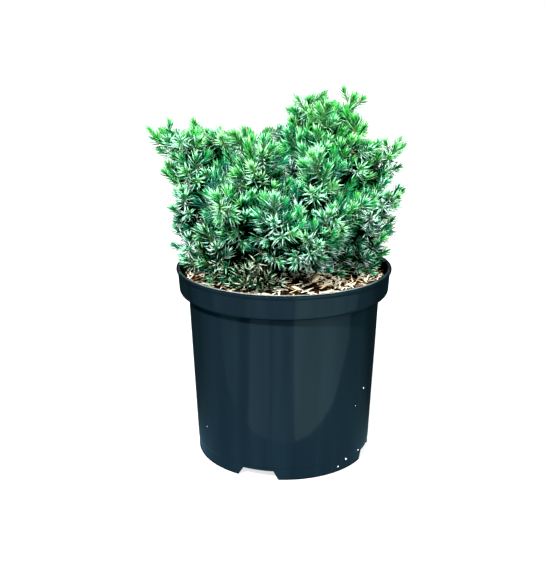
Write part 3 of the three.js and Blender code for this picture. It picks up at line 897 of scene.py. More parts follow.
@dataclass
class PottingMix:
    """The top of the filling: a crumbled crust, bark chips and pale slivers."""

    level: float = 149.0
    flat_radius: float = 12.0
    edge_drop: float = 4.5
    edge_radius: float = 80.8
    rim_band: float = 77.0
    rim_height: float = 153.0
    crust: float = 1.3
    crust_gap: float = 0.15  # between the crust and the pot's wall
    crust_skirt: float = 2.0  # how far its edge goes down
    crust_top: float = 0.5  # how far under the filling's top a corner still belongs to it
    crust_rings: int = 46
    crust_steps: int = 220
    crust_sharp: float = 80.0  # degrees past which its edges stay sharp
    crumb_pitch: float = 0.11  # how closely the crust's noise lies, in each millimetre
    crumb_layer: float = 0.3  # height at which the noise is taken
    crumb_rise: Span = (0.7, 0.75)  # shares of the crust that are even and that follow the noise
    crumb_noise: tuple[float, float, int] = (0.9, 2.1, 4)  # its roughness, its lacunarity and its octaves
    wall_gap: float = 1.2  # between the wall and the middles of things
    end_gap: float = 0.3  # more than that, where their ends come closer
    wall_pull: float = 1.5  # how close their ends come to the wall when they follow it
    wall_sway: Span = (0.12, 0.08)  # stray in yaw and pitch of things that follow the wall
    pitch: float = 0.3  # stray in pitch of the others
    chip_count: int = 760
    chip_sides: int = 6
    chip_reach: Span = (1.4, 4.8)  # half the length
    chip_thickness: Span = (0.35, 1.0)  # half of it
    chip_breadth: Span = (0.35, 0.8)  # half the width, as a share of half the length
    chip_edge: Span = (0.75, 1.15)  # how far its corners stand in and out
    chip_roll: float = 0.25
    chip_rise: float = 0.25
    pale_rise: float = 2.0
    pale_thickness: float = 0.45
    pale_pitch: float = 12.0  # degrees, up and down by turns
    pale_breadth: float = 0.6  # of what the draws say
    sliver_count: int = 1180
    sliver_reach: Span = (3.2, 1.0)  # half the length: the shape of its draws, and the least
    sliver_width: Span = (0.3, 0.9)
    sliver_rise: Span = (0.5, 1.7)
    sliver_bow: float = 0.12  # how far it bends aside, as a share of half the length
    sliver_sides: int = 4
    sliver_depth: float = 0.45  # as a share of the width
    # Shares of a sliver's half length, with the share of its width at each.
    sliver_form: tuple[Span, ...] = ((-1.0, 0.35), (-0.6, 1.0), (0.5, 0.9), (1.0, 0.25))
    # Large pale chips: the place of the middle, half the length, and the azimuth in degrees.
    pale_chips: tuple[tuple[float, float, float, float], ...] = (
        (24.0, -32.0, 7.0, 62.0),
        (29.0, -17.0, 5.5, 20.0),
        (31.0, -43.0, 5.0, 12.0),
        (9.4, -52.0, 4.5, -30.0),
        (33.0, -58.0, 5.0, 10.0),
        (-12.0, -68.0, 4.5, 8.0),
        (52.0, -40.0, 4.5, 48.0),
    )
    seed: int = 31

    @classmethod
    def from_frame(cls, pot: NurseryPot) -> "PottingMix":
        """Return the mix at the level and width of the construction model's filling."""
        low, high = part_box("potting_mix")
        return cls(level=high.z / MM, edge_radius=(high.x - low.x) / 2 / MM, rim_height=pot.height)

    def height(self, radius: np.ndarray | float) -> np.ndarray | float:
        """Return the height of the filling's top at a distance from the pot's axis."""
        share = np.clip((radius - self.flat_radius) / (self.edge_radius - self.flat_radius), 0, 1)
        return self.level - self.edge_drop * share

    def crumbled(self, x: float, y: float) -> float:
        """Return the height of the crust's top over a point of the pot's plan."""
        place = Vector((x * self.crumb_pitch, y * self.crumb_pitch, self.crumb_layer))
        rough = noise.fractal(place, *self.crumb_noise)
        even, uneven = self.crumb_rise
        return float(self.height(math.hypot(x, y))) + self.crust * (even + uneven * rough)

    def clearance(self, points: np.ndarray) -> np.ndarray:
        """Return how far points stand over the mix, or over the rim where they pass it."""
        flat = np.hypot(points[:, 0], points[:, 1])
        ground = np.where(flat > self.rim_band, self.rim_height, self.height(flat) + self.crust)
        return points[:, 2] - ground

    def build_crust(self) -> Piece:
        """Build the crust and return its piece."""
        edge = self.edge_radius - self.crust_gap
        top = [(radius, float(self.height(radius))) for radius in np.linspace(0, edge, self.crust_rings)]
        foot = self.level - self.edge_drop - self.crust_skirt
        shape = turned([*top, (edge, top[-1][1] - self.crust_skirt), (0.0, foot)], self.crust_steps)
        for corner in shape.verts:
            x, y, z = corner.co / MM
            if z > self.height(math.hypot(x, y)) - self.crust_top:
                corner.co.z = self.crumbled(x, y) * MM
        crust = shaded(shape, "mix_crust", self.crust_sharp)
        return dressed("mix_crust", crust, [DampHumus().material()])

    def places(self, count: int, reach: np.ndarray, draws: Draws) -> tuple[np.ndarray, np.ndarray]:
        """Pick where scattered things lie.

        Args:
            count: How many.
            reach: Half the length of each.
            draws: The source of random numbers.

        Returns:
            Their middles on the crust, and the azimuth of each in radians.
        """
        room = self.edge_radius - self.wall_gap
        radius = room * np.sqrt(draws.uniform(0.0, 1.0, count))
        azimuth = draws.uniform(-math.pi, math.pi, count)
        square = np.sqrt(np.maximum(room**2 - reach**2, 0.0))
        radius = np.minimum(radius, square - self.end_gap)
        x, y = radius * np.sin(azimuth), -radius * np.cos(azimuth)
        z = np.array([self.crumbled(a, b) for a, b in zip(x, y)])
        return np.stack([x, y, z], axis=1), azimuth

    def headings(
        self, middles: np.ndarray, azimuth: np.ndarray, reach: np.ndarray, draws: Draws
    ) -> np.ndarray:
        """Return which way scattered things point: anyhow, but along the wall where they are close to it."""
        count = len(middles)
        yaw_sway, pitch_sway = self.wall_sway
        close = np.hypot(middles[:, 0], middles[:, 1]) + reach > self.edge_radius - self.wall_pull
        along = azimuth + draws.normal(0.0, yaw_sway, count)
        yaw = np.where(close, along, draws.uniform(-math.pi, math.pi, count))
        level = draws.normal(0.0, pitch_sway, count)
        return pointing(yaw, np.where(close, level, np.abs(draws.normal(0.0, self.pitch, count))))

    @staticmethod
    def pieces(heaps: Iterable[tuple[PlainCoat, Facets]]) -> list[Piece]:
        """Return a piece for each coat, made of the triangles that were gathered for it."""
        return [
            dressed(coat.name + "s", facets.mesh(coat.name), [coat.material()])
            for coat, facets in heaps
        ]

    def build_chips(self) -> list[Piece]:
        """Build the bark chips, in a piece for each colour, and return the pieces."""
        draws = np.random.default_rng(self.seed)
        reach = draws.uniform(*self.chip_reach, self.chip_count)
        middles, azimuth = self.places(self.chip_count, reach, draws)
        heading = self.headings(middles, azimuth, reach, draws)
        thick = draws.uniform(*self.chip_thickness, self.chip_count)
        for k, (x, y, half, yaw) in enumerate(self.pale_chips):
            middles[k] = (x, y, self.crumbled(x, y) + self.pale_rise)
            reach[k], thick[k] = half, self.pale_thickness
            heading[k] = pointing(math.radians(yaw), math.radians(self.pale_pitch * (-1) ** k))
        lateral = unit(np.cross(UP, heading) + UP * draws.normal(0, self.chip_roll, (self.chip_count, 1)))
        normal = np.cross(heading, lateral)
        broad = reach * draws.uniform(*self.chip_breadth, self.chip_count)
        broad[: len(self.pale_chips)] *= self.pale_breadth
        sides = self.chip_sides
        turn = np.arange(sides) * 2 * np.pi / sides
        rough = draws.uniform(*self.chip_edge, (2, self.chip_count, sides))
        rings = []
        for ring, sign in ((0, -1.0), (1, 1.0)):
            x = np.cos(turn) * reach[:, None] * rough[ring]
            y = np.sin(turn) * broad[:, None] * rough[ring]
            flat = x[..., None] * heading[:, None] + y[..., None] * lateral[:, None]
            lift = sign * thick + self.chip_rise
            rings.append(middles[:, None] + flat + normal[:, None] * lift[:, None, None])
        corners = np.concatenate(rings, axis=1)
        fan = np.array([[0, k + 1, k] for k in range(1, sides - 1)])
        top = np.array([[sides, sides + k, sides + k + 1] for k in range(1, sides - 1)])
        triangles = np.concatenate([walls(sides), fan, top])
        kinds = draws.choice(len(CHIPS), self.chip_count, p=[share for _, share in CHIPS])
        kinds[: len(self.pale_chips)] = len(CHIPS) - 1
        heaps = [(coat, Facets()) for coat, _ in CHIPS]
        for k, (_, facets) in enumerate(heaps):
            facets.add(corners[kinds == k], triangles)
        return self.pieces(heaps)

    def build_slivers(self) -> list[Piece]:
        """Build the pale slivers and splinters, in a piece for each colour, and return the pieces."""
        draws = np.random.default_rng(self.seed + 1)
        bulk, least = self.sliver_reach
        reach = draws.gamma(bulk, 1.0, self.sliver_count) + least
        middles, azimuth = self.places(self.sliver_count, reach, draws)
        heading = self.headings(middles, azimuth, reach, draws)
        lateral = unit(np.cross(UP, heading))
        depth = np.cross(heading, lateral) * self.sliver_depth
        wide = draws.uniform(*self.sliver_width, self.sliver_count)
        kinds = draws.choice(len(SLIVERS), self.sliver_count, p=[share for _, share in SLIVERS])
        rise = draws.uniform(*self.sliver_rise, self.sliver_count)
        shares, profile = np.array(self.sliver_form).T
        heaps = [(coat, Facets()) for coat, _ in SLIVERS]
        for i, kind in enumerate(kinds):
            bow = self.sliver_bow * reach[i] * (1 - shares**2)
            line = middles[i] + shares[:, None] * reach[i] * heading[i] + lateral[i] * bow[:, None]
            line[:, 2] += rise[i]
            spokes = np.broadcast_to(np.stack([lateral[i], depth[i]]), (len(shares), 2, 3))
            heaps[kind][1].add(*tube(line, spokes, profile * wide[i], self.sliver_sides))
        return self.pieces(heaps)


# ---------------------------------------------------------------- stem and boughs


@dataclass(frozen=True)
class BarkRelief:
    """Long flakes and ridges of bark that stand up from a limb."""

    depth: float
    pitch: float  # flakes in a millimetre across the limb
    flakes: Span = (2.0, 0.45)  # how closely the noise of the flakes lies, across the limb and along it
    ridges: Span = (3.0, 0.3)  # and that of the ridges
    shares: Span = (0.7, 0.6)  # of the depth, for flakes and for ridges
    flake_noise: tuple[float, float, int] = (0.8, 2.2, 4)  # its roughness, its lacunarity and its octaves

    def raise_on(self, shape: Shape) -> None:
        """Raise the bark on a limb in metres."""
        shape.normal_update()
        moves = []
        for corner in shape.verts:
            point = corner.co / MM
            flakes = noise.fractal(self.place(point, self.flakes), *self.flake_noise)
            ridges = 0.5 - abs(noise.noise(self.place(point, self.ridges)))
            rise = self.shares[0] * flakes + self.shares[1] * ridges
            moves.append(corner.normal * rise * self.depth * MM)
        for corner, move in zip(shape.verts, moves):
            corner.co += move

    def place(self, point: Vector, stretch: Span) -> Vector:
        """Return where a point in millimetres lies in a noise stretched across the limb and along it."""
        across, along = (self.pitch * share for share in stretch)
        return Vector((point.x * across, point.y * across, point.z * along))


@dataclass
class Stem:
    """The short trunk in the middle of the pot, flared at its foot."""

    foot: float = 149.3
    height: float = 46.0
    foot_radius: float = 8.5
    mid_radius: float = 5.2
    tip_radius: float = 4.4
    flare_share: float = 0.3
    lean: float = 3.5
    lean_power: float = 1.5
    sides: int = 40
    steps: int = 40
    relief: BarkRelief = BarkRelief(0.55, 0.16)

    @classmethod
    def from_frame(cls) -> "Stem":
        """Return the stem between the foot and the top of the construction model's."""
        low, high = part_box("stem")
        return cls(foot=low.z / MM, height=(high.z - low.z) / MM)

    def centre(self, share: float) -> np.ndarray:
        """Return the stem's middle at a share of its height."""
        return np.array([self.lean * share**self.lean_power, 0.0, self.foot + self.height * share])

    def radius(self, share: float) -> float:
        """Return the stem's radius at a share of its height."""
        flare = max(0.0, 1 - share / self.flare_share) ** 2
        trunk = blend(self.mid_radius, self.tip_radius, share)
        return trunk + (self.foot_radius - self.mid_radius) * flare

    def build(self) -> Piece:
        """Build the stem with the relief of its bark, and return its piece."""
        shares = np.linspace(0, 1, self.steps + 1)
        centres, radii = [self.centre(share) for share in shares], [self.radius(share) for share in shares]
        shape = limb_shape(centres, radii, self.sides)
        self.relief.raise_on(shape)
        bark = shaded(shape, "stem_bark", BARK_SHARP)
        stem = dressed("stem_bark", bark, [FlakingBark().material()])
        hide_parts("stem")
        return stem


def limb_shape(centres: Sequence[np.ndarray], radii: Sequence[float], sides: int) -> Shape:
    """Grow a round limb ring by ring along its middle line.

    Args:
        centres: The middle of each ring, in millimetres.
        radii: The radius of each ring.
        sides: Corners in a ring.

    Returns:
        The closed limb in metres.
    """
    shape = bmesh.new()
    ways = [unit(centres[min(i + 1, len(centres) - 1)] - centres[max(i - 1, 0)]) for i in range(len(centres))]
    tracks = [Vector(way).to_track_quat("Z", "Y").to_matrix().to_4x4() for way in ways]
    places = [
        Matrix.Translation(Vector(centre * MM)) @ track @ Matrix.Diagonal((radius * MM, radius * MM, 1, 1))
        for centre, track, radius in zip(centres, tracks, radii)
    ]
    bmesh.ops.create_circle(shape, cap_ends=True, segments=sides, radius=1.0, matrix=places[0])
    edges = list(shape.edges)
    for before, after in zip(places, places[1:]):
        grown = bmesh.ops.extrude_edge_only(shape, edges=edges)["geom"]
        ring = [item for item in grown if isinstance(item, bmesh.types.BMVert)]
        edges = [item for item in grown if isinstance(item, bmesh.types.BMEdge)]
        bmesh.ops.transform(shape, matrix=after @ before.inverted(), verts=ring)
    bmesh.ops.holes_fill(shape, edges=edges, sides=0)
    bmesh.ops.recalc_face_normals(shape, faces=shape.faces)
    return shape


# ---------------------------------------------------------------- the growth rule


@dataclass(frozen=True)
class MassRow:
    """One mass of foliage: its furthest tip, its side shoots' length, its bough's start and its seed."""

    name: str
    azimuth: float
    reach: float
    height: float  # of the tip, over the potting mix
    shoot_length: float
    leaves: float  # height on the stem
    seed: int  # of the draws that place its side shoots


CROWN = (
    MassRow("low_left", -87, 87, 21, 29, 6, 58),
    MassRow("low_front_left", -51, 80, 19, 29, 10, 123),
    MassRow("low_front", -19, 72, 8, 29, 6, 94),
    MassRow("low_front_right", 17, 86, 42, 31, 11, 4),
    MassRow("low_right", 88, 81, 16, 29, 6, 91),
    MassRow("low_back_right", 138, 85, 24, 31, 9, 2),
    MassRow("low_back_left", -142, 81, 26, 31, 9, 27),
    MassRow("skirt_left", -84, 85, 51, 29, 15, 10),
    MassRow("skirt_right", 89, 81, 36, 28, 14, 174),
    MassRow("mid_left", -82, 93, 81, 29, 21, 46),
    MassRow("mid_front_left", -34, 90, 75, 31, 18, 11),
    MassRow("mid_front", -5, 87, 60, 31, 21, 78),
    MassRow("mid_front_right", 38, 82, 65, 31, 16, 55),
    MassRow("mid_right", 85, 91, 65, 28, 21, 54),
    MassRow("mid_back_right", 126, 89, 73, 31, 18, 3),
    MassRow("mid_back", 180, 94, 58, 31, 15, 133),
    MassRow("mid_back_left", -130, 92, 75, 31, 19, 44),
    MassRow("top_left", -88, 103, 112, 31, 29, 75),
    MassRow("upper_left", -104, 72, 112, 30, 34, 8),
    MassRow("top_front", -30, 54, 107, 31, 28, 80),
    MassRow("top_front_right", 30, 64, 92, 31, 25, 38),
    MassRow("top_back", 172, 62, 110, 31, 29, 73),
    MassRow("top_back_left", -144, 48, 105, 31, 36, 124),
    MassRow("top_right", 87, 91, 100, 30, 27, 111),
    MassRow("upper_right", 77, 62, 116, 29, 33, 18),
    MassRow("tall_left", 133, 25, 132, 31, 46, 100),
    MassRow("tall_right", 108, 58, 135, 31, 35, 125),
    MassRow("tall_front", 72, 38, 124, 30, 39, 93),
)


# Masses that lie in the shadow of those over them, with how strongly that shadow is painted on their needles
# as darker and greyer tints.
SHADED = {"low_front": 1.0, "low_front_left": 0.35, "low_back_left": 0.3, "low_back_right": 0.3}


@dataclass
class Growth:
    """A bough, and the axis of the mass that it carries."""

    row: MassRow
    bough: Bend
    axis: Bend


@dataclass
class Shoot:
    """A stem with needles round it."""

    curve: Bend
    start: float  # share of the curve where its needles start
    order: int  # 0 for a mass's own axis, 1 for its side shoots, 2 for twigs, 3 for old wood
    vigour: float = 0.5  # from 0, old and shaded, to 1, fresh growth in the light
    age: float = 0.0  # taken off its vigour
    shade: float = 0.0  # painted shadow cast by the masses over it


@dataclass(frozen=True)
class BoughRule:
    """How a bough runs from the stem to its mass."""

    share: float = 0.34
    seat: float = 0.5
    root_radius: float = 1.75
    tip_radius: float = 1.15
    sag: float = 5.0
    dip: float = 0.8
    gap: float = 0.3
    bend: float = 0.45

    def grow(self, row: MassRow, stem: Stem, level: float) -> Growth:
        """Grow one bough and the axis of its mass.

        Args:
            row: The mass.
            stem: The stem that carries it.
            level: The height of the potting mix at the stem.

        Returns:
            The bough and the axis.
        """
        share = row.leaves / stem.height
        root = stem.centre(share) + polar(row.azimuth, self.seat * stem.radius(share), 0.0)
        tip = polar(row.azimuth, row.reach, level + row.height)
        heel = blend(root, tip, self.share) - UP * self.sag
        middle = blend(root, heel, 0.5) - UP * self.dip
        bough = Bend(root, middle, heel)
        heading = bough.tangent(1.0)
        start = heel + heading * self.gap
        bend = start + heading * float(np.linalg.norm(tip - start)) * self.bend
        return Growth(row, bough, Bend(start, bend, tip))


@dataclass(frozen=True)
class TwigRule:
    """The finer twigs on one kind of stem."""

    count: int
    span: Span  # of the stem
    lengths: Span  # at the foot and at the tip of the stem
    opening: float = 46.0
    places: Span = (0.1, 0.9)  # shares of a twig's own part of the stem between which it leaves
    turn_stray: float = 12.0
    opening_stray: float = 7.0
    length_stray: Span = (0.85, 1.15)


TWIGS = {
    0: TwigRule(16, (0.03, 0.62), (26.0, 16.0)),
    1: TwigRule(3, (0.1, 0.5), (16.0, 11.0)),
    3: TwigRule(6, (0.35, 0.98), (16.0, 24.0), 60.0),
}


@dataclass(frozen=True)
class ShootRule:
    """How the side shoots leave a mass's axis, and how finer twigs leave the shoots."""

    count: int = 5
    first: float = 0.06
    last: float = 0.74
    stray: float = 0.3
    opening: float = 50.0
    opening_spread: float = 16.0
    turn_spread: float = 24.0
    lift: float = 0.3
    curl: float = 0.12
    shrink: float = 0.35
    length_spread: float = 0.24
    leader_start: float = 0.12
    side_start: float = 0.1
    twig_start: float = 0.06

    def side(self, curve: Bend, along: float, angle: float, opening: float, length: float) -> Bend:
        """Grow one shoot from a curve.

        Args:
            curve: What carries it.
            along: Where it leaves, as a share of the curve.
            angle: Which way round the curve, in radians.
            opening: The angle between the two, in radians.
            length: The shoot's length.

        Returns:
            The shoot's own curve.
        """
        tangent, _, _ = curve.frame(along)
        aside = curve.side(along, angle)
        heading = unit(tangent * math.cos(opening) + aside * math.sin(opening) + UP * self.lift)
        root = curve.point(along)
        return Bend(root, root + heading * length / 2, root + heading * length + UP * length * self.curl)

    def shoots(self, growth: Growth) -> list[Shoot]:
        """Return a mass's leader and side shoots, at the places where its solid has them."""
        draws = ModelDraws(growth.row.seed)
        spin = draws.around(180.0, 360.0)
        step = (self.last - self.first) / (self.count - 1)
        shoots = [Shoot(growth.axis, self.leader_start, 0)]
        for k in range(self.count):
            along = self.first + step * (k + self.stray * draws())
            angle = math.radians(draws.around(spin + k * GOLDEN_ANGLE, self.turn_spread))
            opening = math.radians(draws.around(self.opening, self.opening_spread))
            length = growth.row.shoot_length * (1 - self.shrink * along)
            length *= draws.around(1.0, self.length_spread)
            shoots.append(Shoot(self.side(growth.axis, along, angle, opening, length), self.side_start, 1))
        return shoots

    def twigs(self, shoots: Sequence[Shoot], draws: Draws) -> list[Shoot]:
        """Return the finer twigs that stand between the side shoots of a mass and on them."""
        twigs = []
        for shoot in shoots:
            rule = TWIGS[shoot.order]
            spin = draws.uniform(0.0, 360.0)
            for k in range(rule.count):
                along = blend(*rule.span, (k + draws.uniform(*rule.places)) / rule.count)
                angle = math.radians(spin + k * GOLDEN_ANGLE + draws.normal(0.0, rule.turn_stray))
                opening = math.radians(rule.opening + draws.normal(0.0, rule.opening_stray))
                length = blend(*rule.lengths, along) * draws.uniform(*rule.length_stray)
                curve = self.side(shoot.curve, along, angle, opening, length)
                twigs.append(Shoot(curve, self.twig_start, 2, age=shoot.age, shade=shoot.shade))
        return twigs


def swollen(cells: np.ndarray, steps: int) -> np.ndarray:
    """Return a grid of filled cells with every cell filled that is within some steps of them."""
    grown = np.zeros_like(cells)
    way = range(-steps, steps + 1)
    for offset in product(way, repeat=3):
        if sum(part * part for part in offset) <= steps * steps + 1:
            grown |= np.roll(cells, offset, axis=(0, 1, 2))
    return grown


@dataclass(frozen=True)
class HollowRule:
    """How extra twigs fill the hollows between the masses, under the crown's surface."""

    cell: float = 3.4
    margin: int = 8  # cells left free round the crown
    steps: int = 1  # cells that a shoot fills round itself
    sectors: int = 24  # parts of the full turn in which the crown's reach is taken
    layer: float = 9.0  # height of the layers in which it is taken
    layers: int = 64
    bridged: int = 3  # layers between two that reach out, in which a hollow is filled
    floor: float = 170.0  # height under which nothing is filled, so that the potting mix shows
    span: Span = (0.45, 0.91)  # shares of the reach between which a twig may end
    tries: int = 60  # twigs tried on each stem
    age: float = 0.15
    starts: Span = (0.05, 0.85)  # shares of the stem between which a twig leaves it
    openings: Span = (30.0, 85.0)
    lengths: Span = (13.0, 23.0)
    tested: Span = (0.7, 1.0)  # shares of a twig that have to lie in a hollow
    samples: tuple[float, float, int] = (0.1, 1.0, 10)  # shares of a stem that fill cells: ends and count

    def twigs(self, shoots: Sequence[Shoot], rule: ShootRule, draws: Draws) -> list[Shoot]:
        """Grow twigs into the hollows.

        Args:
            shoots: The stems that are there.
            rule: How a twig leaves a stem.
            draws: The source of random numbers.

        Returns:
            The new twigs.
        """
        shares = np.linspace(*self.samples)
        places = np.concatenate([shoot.curve.point(shares) for shoot in shoots])
        reaches = self.reaches(places)
        low = places.min(axis=0) - self.margin * self.cell
        filled = np.zeros(np.ceil((places.max(axis=0) - low) / self.cell).astype(int) + self.margin, bool)
        filled[self.cells(places, low)] = True
        filled = swollen(filled, self.steps)
        grown = []
        for shoot in shoots:
            for _ in range(self.tries if shoot.order < 2 else 0):
                opening = math.radians(draws.uniform(*self.openings))
                angle = draws.uniform(0.0, 2 * math.pi)
                along, length = draws.uniform(*self.starts), draws.uniform(*self.lengths)
                curve = rule.side(shoot.curve, along, angle, opening, length)
                ends = curve.point(np.array(self.tested))
                depth = np.hypot(ends[:, 0], ends[:, 1]) / np.maximum(reaches[self.sector(ends)], 1.0)
                inside = (depth > self.span[0]) & (depth < self.span[1]) & (ends[:, 2] > self.floor)
                if inside.all() and not filled[self.cells(ends, low)].any():
                    grown.append(Shoot(curve, rule.twig_start, 2, age=self.age, shade=shoot.shade))
                    own = np.zeros_like(filled)
                    own[self.cells(curve.point(shares), low)] = True
                    filled |= swollen(own, self.steps)
        return grown

    def reaches(self, places: np.ndarray) -> np.ndarray:
        """Return how far places reach out in each sector and layer, or in those close over and under it."""
        table = np.zeros((self.sectors, self.layers))
        np.maximum.at(table, self.sector(places), np.hypot(places[:, 0], places[:, 1]))
        table = np.maximum(table, np.maximum(np.roll(table, 1, axis=0), np.roll(table, -1, axis=0)))
        over = np.max([np.roll(table, -step, axis=1) for step in range(1, self.bridged + 1)], axis=0)
        under = np.max([np.roll(table, step, axis=1) for step in range(self.bridged + 1)], axis=0)
        return np.minimum(over, under)

    def sector(self, places: np.ndarray) -> tuple[np.ndarray, np.ndarray]:
        """Return the numbers of the sector and of the layer that places lie in."""
        turn = np.arctan2(places[:, 0], -places[:, 1]) / (2 * math.pi) % 1.0
        return (turn * self.sectors).astype(int) % self.sectors, (places[:, 2] / self.layer).astype(int)

    def cells(self, places: np.ndarray, low: np.ndarray) -> tuple[np.ndarray, ...]:
        """Return the numbers of the cells that places lie in."""
        return tuple(((places - low) / self.cell).astype(int).T)


@dataclass(frozen=True)
class WhorlRule:
    """How needles stand on a shoot."""

    step: float = 1.5  # along the shoot, between whorls of three
    step_stray: float = 0.22  # of a needle along the shoot, in whorls
    tip_room: float = 0.6  # whorls between the last one's place and the count of whorls
    length: float = 9.8
    length_stray: float = 0.08
    width: float = 0.98
    width_stray: float = 0.06
    lean_stray: float = 6.0
    lean_limits: Span = (3.0, 86.0)
    bud_stray: float = 3.0
    turn_stray: float = 0.16
    twist_stray: float = 0.22
    hooks: Span = (-0.02, 0.12)  # at the foot and at the tip of the shoot
    hook_stray: float = 0.03
    openness_spread: float = 0.12  # from shoot to shoot
    star_opening: float = 1.15  # of the leans, on shoots that face outwards and level
    star_start: float = 0.55  # cosine of the angle to outwards and level at which that sets in
    # Shares of the shoot, with the lean of needles in degrees and the share of their length at each.
    places: tuple[float, ...] = (0.0, 0.3, 0.6, 0.85, 1.0)
    leans: tuple[float, ...] = (66.0, 54.0, 43.0, 34.0, 26.0)
    sizes: tuple[float, ...] = (0.92, 1.06, 1.04, 0.94, 0.78)
    widths: tuple[float, ...] = (0.52, 0.66, 0.92, 1.06, 0.98)
    crowding: float = 0.35  # how much closer the whorls stand towards the tip
    bud_leans: tuple[float, ...] = (18.0, 8.0)
    bud_lengths: tuple[float, ...] = (0.62, 0.52)
    stops: tuple[float, ...] = (0.97, 0.88, 0.86, 0.86)  # share of the shoot at its last whorl, by order
    seat: float = 0.275  # distance of a needle's foot from the middle of the shoot
    fresh_middle: float = 0.58  # share of the shoot at which needles are as fresh as the whole
    fresh_slope: float = 0.66  # how much fresher they get from end to end
    fresh_stray: float = 0.08
    tint_steps: tuple[float, ...] = (0.3, 0.48, 0.65, 0.86)  # of freshness, between the tints
    dry_span: Span = (0.3, 0.5)  # of freshness and of the shoot, under which needles are old
    dry_shares: Span = (0.05, 0.001)  # of old needles and of the others that have dried

    def dress(self, shoot: Shoot, draws: Draws) -> Needles:
        """Stand needles round a shoot.

        Args:
            shoot: The shoot.
            draws: The source of random numbers.

        Returns:
            Its needles.
        """
        dressed_length = shoot.curve.length * (1 - shoot.start)
        count = max(3, int(dressed_length / self.step))
        whorl = np.repeat(np.arange(count), 3)
        stray = draws.uniform(-self.step_stray, self.step_stray, len(whorl))
        share = np.clip((whorl + stray) / (count - self.tip_room), 0, 1.0)
        share = share + self.crowding * share * (1 - share)
        lean = np.interp(share, self.places, self.leans) * self.openness(shoot, draws)
        lean = lean + draws.normal(0.0, self.lean_stray, len(whorl))
        size = np.interp(share, self.places, self.sizes) * draws.normal(1.0, self.length_stray, len(whorl))
        bud = np.repeat(np.arange(len(self.bud_leans)), 3)
        bud_lean = np.array(self.bud_leans)[bud] + draws.normal(0.0, self.bud_stray, len(bud))
        share = np.concatenate([share, np.full(len(bud), 1.0)])
        lean = np.concatenate([lean, bud_lean])
        size = np.concatenate([size, np.array(self.bud_lengths)[bud]])
        place = np.tile(np.arange(3), count + len(self.bud_leans))
        turn = np.concatenate([whorl, count + bud]) * (math.pi / 3) + place * (2 * math.pi / 3)
        turn = turn + draws.normal(0.0, self.turn_stray, len(turn)) + draws.uniform(0, 2 * math.pi)
        along = shoot.start + (self.stops[shoot.order] - shoot.start) * share
        tangent, normal, binormal = shoot.curve.frame(along)
        outward = np.cos(turn)[:, None] * normal + np.sin(turn)[:, None] * binormal
        tilt = np.radians(np.clip(lean, *self.lean_limits))[:, None]
        heading = np.cos(tilt) * tangent + np.sin(tilt) * outward
        face = np.sin(tilt) * tangent - np.cos(tilt) * outward
        twist = draws.normal(0.0, self.twist_stray, len(turn))[:, None]
        face = unit(face * np.cos(twist) + np.cross(heading, face) * np.sin(twist))
        width = self.width * np.interp(share, self.places, self.widths)
        return Needles(
            foot=shoot.curve.point(along) + outward * self.seat,
            heading=heading,
            face=face,
            length=self.length * size,
            width=width * draws.normal(1.0, self.width_stray, len(turn)),
            hook=blend(*self.hooks, share) + draws.normal(0.0, self.hook_stray, len(turn)),
            tint=self.tints(shoot, share, draws),
            shade=np.full(len(turn), shoot.shade),
        )

    def openness(self, shoot: Shoot, draws: Draws) -> float:
        """Return how far a shoot spreads its needles: most where its tip looks out of the crown's side."""
        heading = shoot.curve.tangent(1.0)
        outward = unit(shoot.curve.end * np.array([1.0, 1.0, 0.0]) + 1e-9)
        level = max(0.0, float(heading @ outward) - self.star_start) / (1 - self.star_start)
        return float(draws.normal(1.0, self.openness_spread)) * blend(1.0, self.star_opening, level)

    def tints(self, shoot: Shoot, share: np.ndarray, draws: Draws) -> np.ndarray:
        """Return the number of each needle's tint: fresher towards the tip, and here and there a dry one."""
        value = shoot.vigour + self.fresh_slope * (share - self.fresh_middle)
        value = value + draws.normal(0.0, self.fresh_stray, len(share))
        order = (Tint.FROST, Tint.TEAL, Tint.LEAF, Tint.SPRING, Tint.LIME)
        tint = np.array([tint.number for tint in order])[np.digitize(value, self.tint_steps)]
        old = (value < self.dry_span[0]) & (share < self.dry_span[1])
        dry = draws.uniform(0, 1, len(share)) < np.where(old, *self.dry_shares)
        return np.where(dry, Tint.DRY.number, tint)


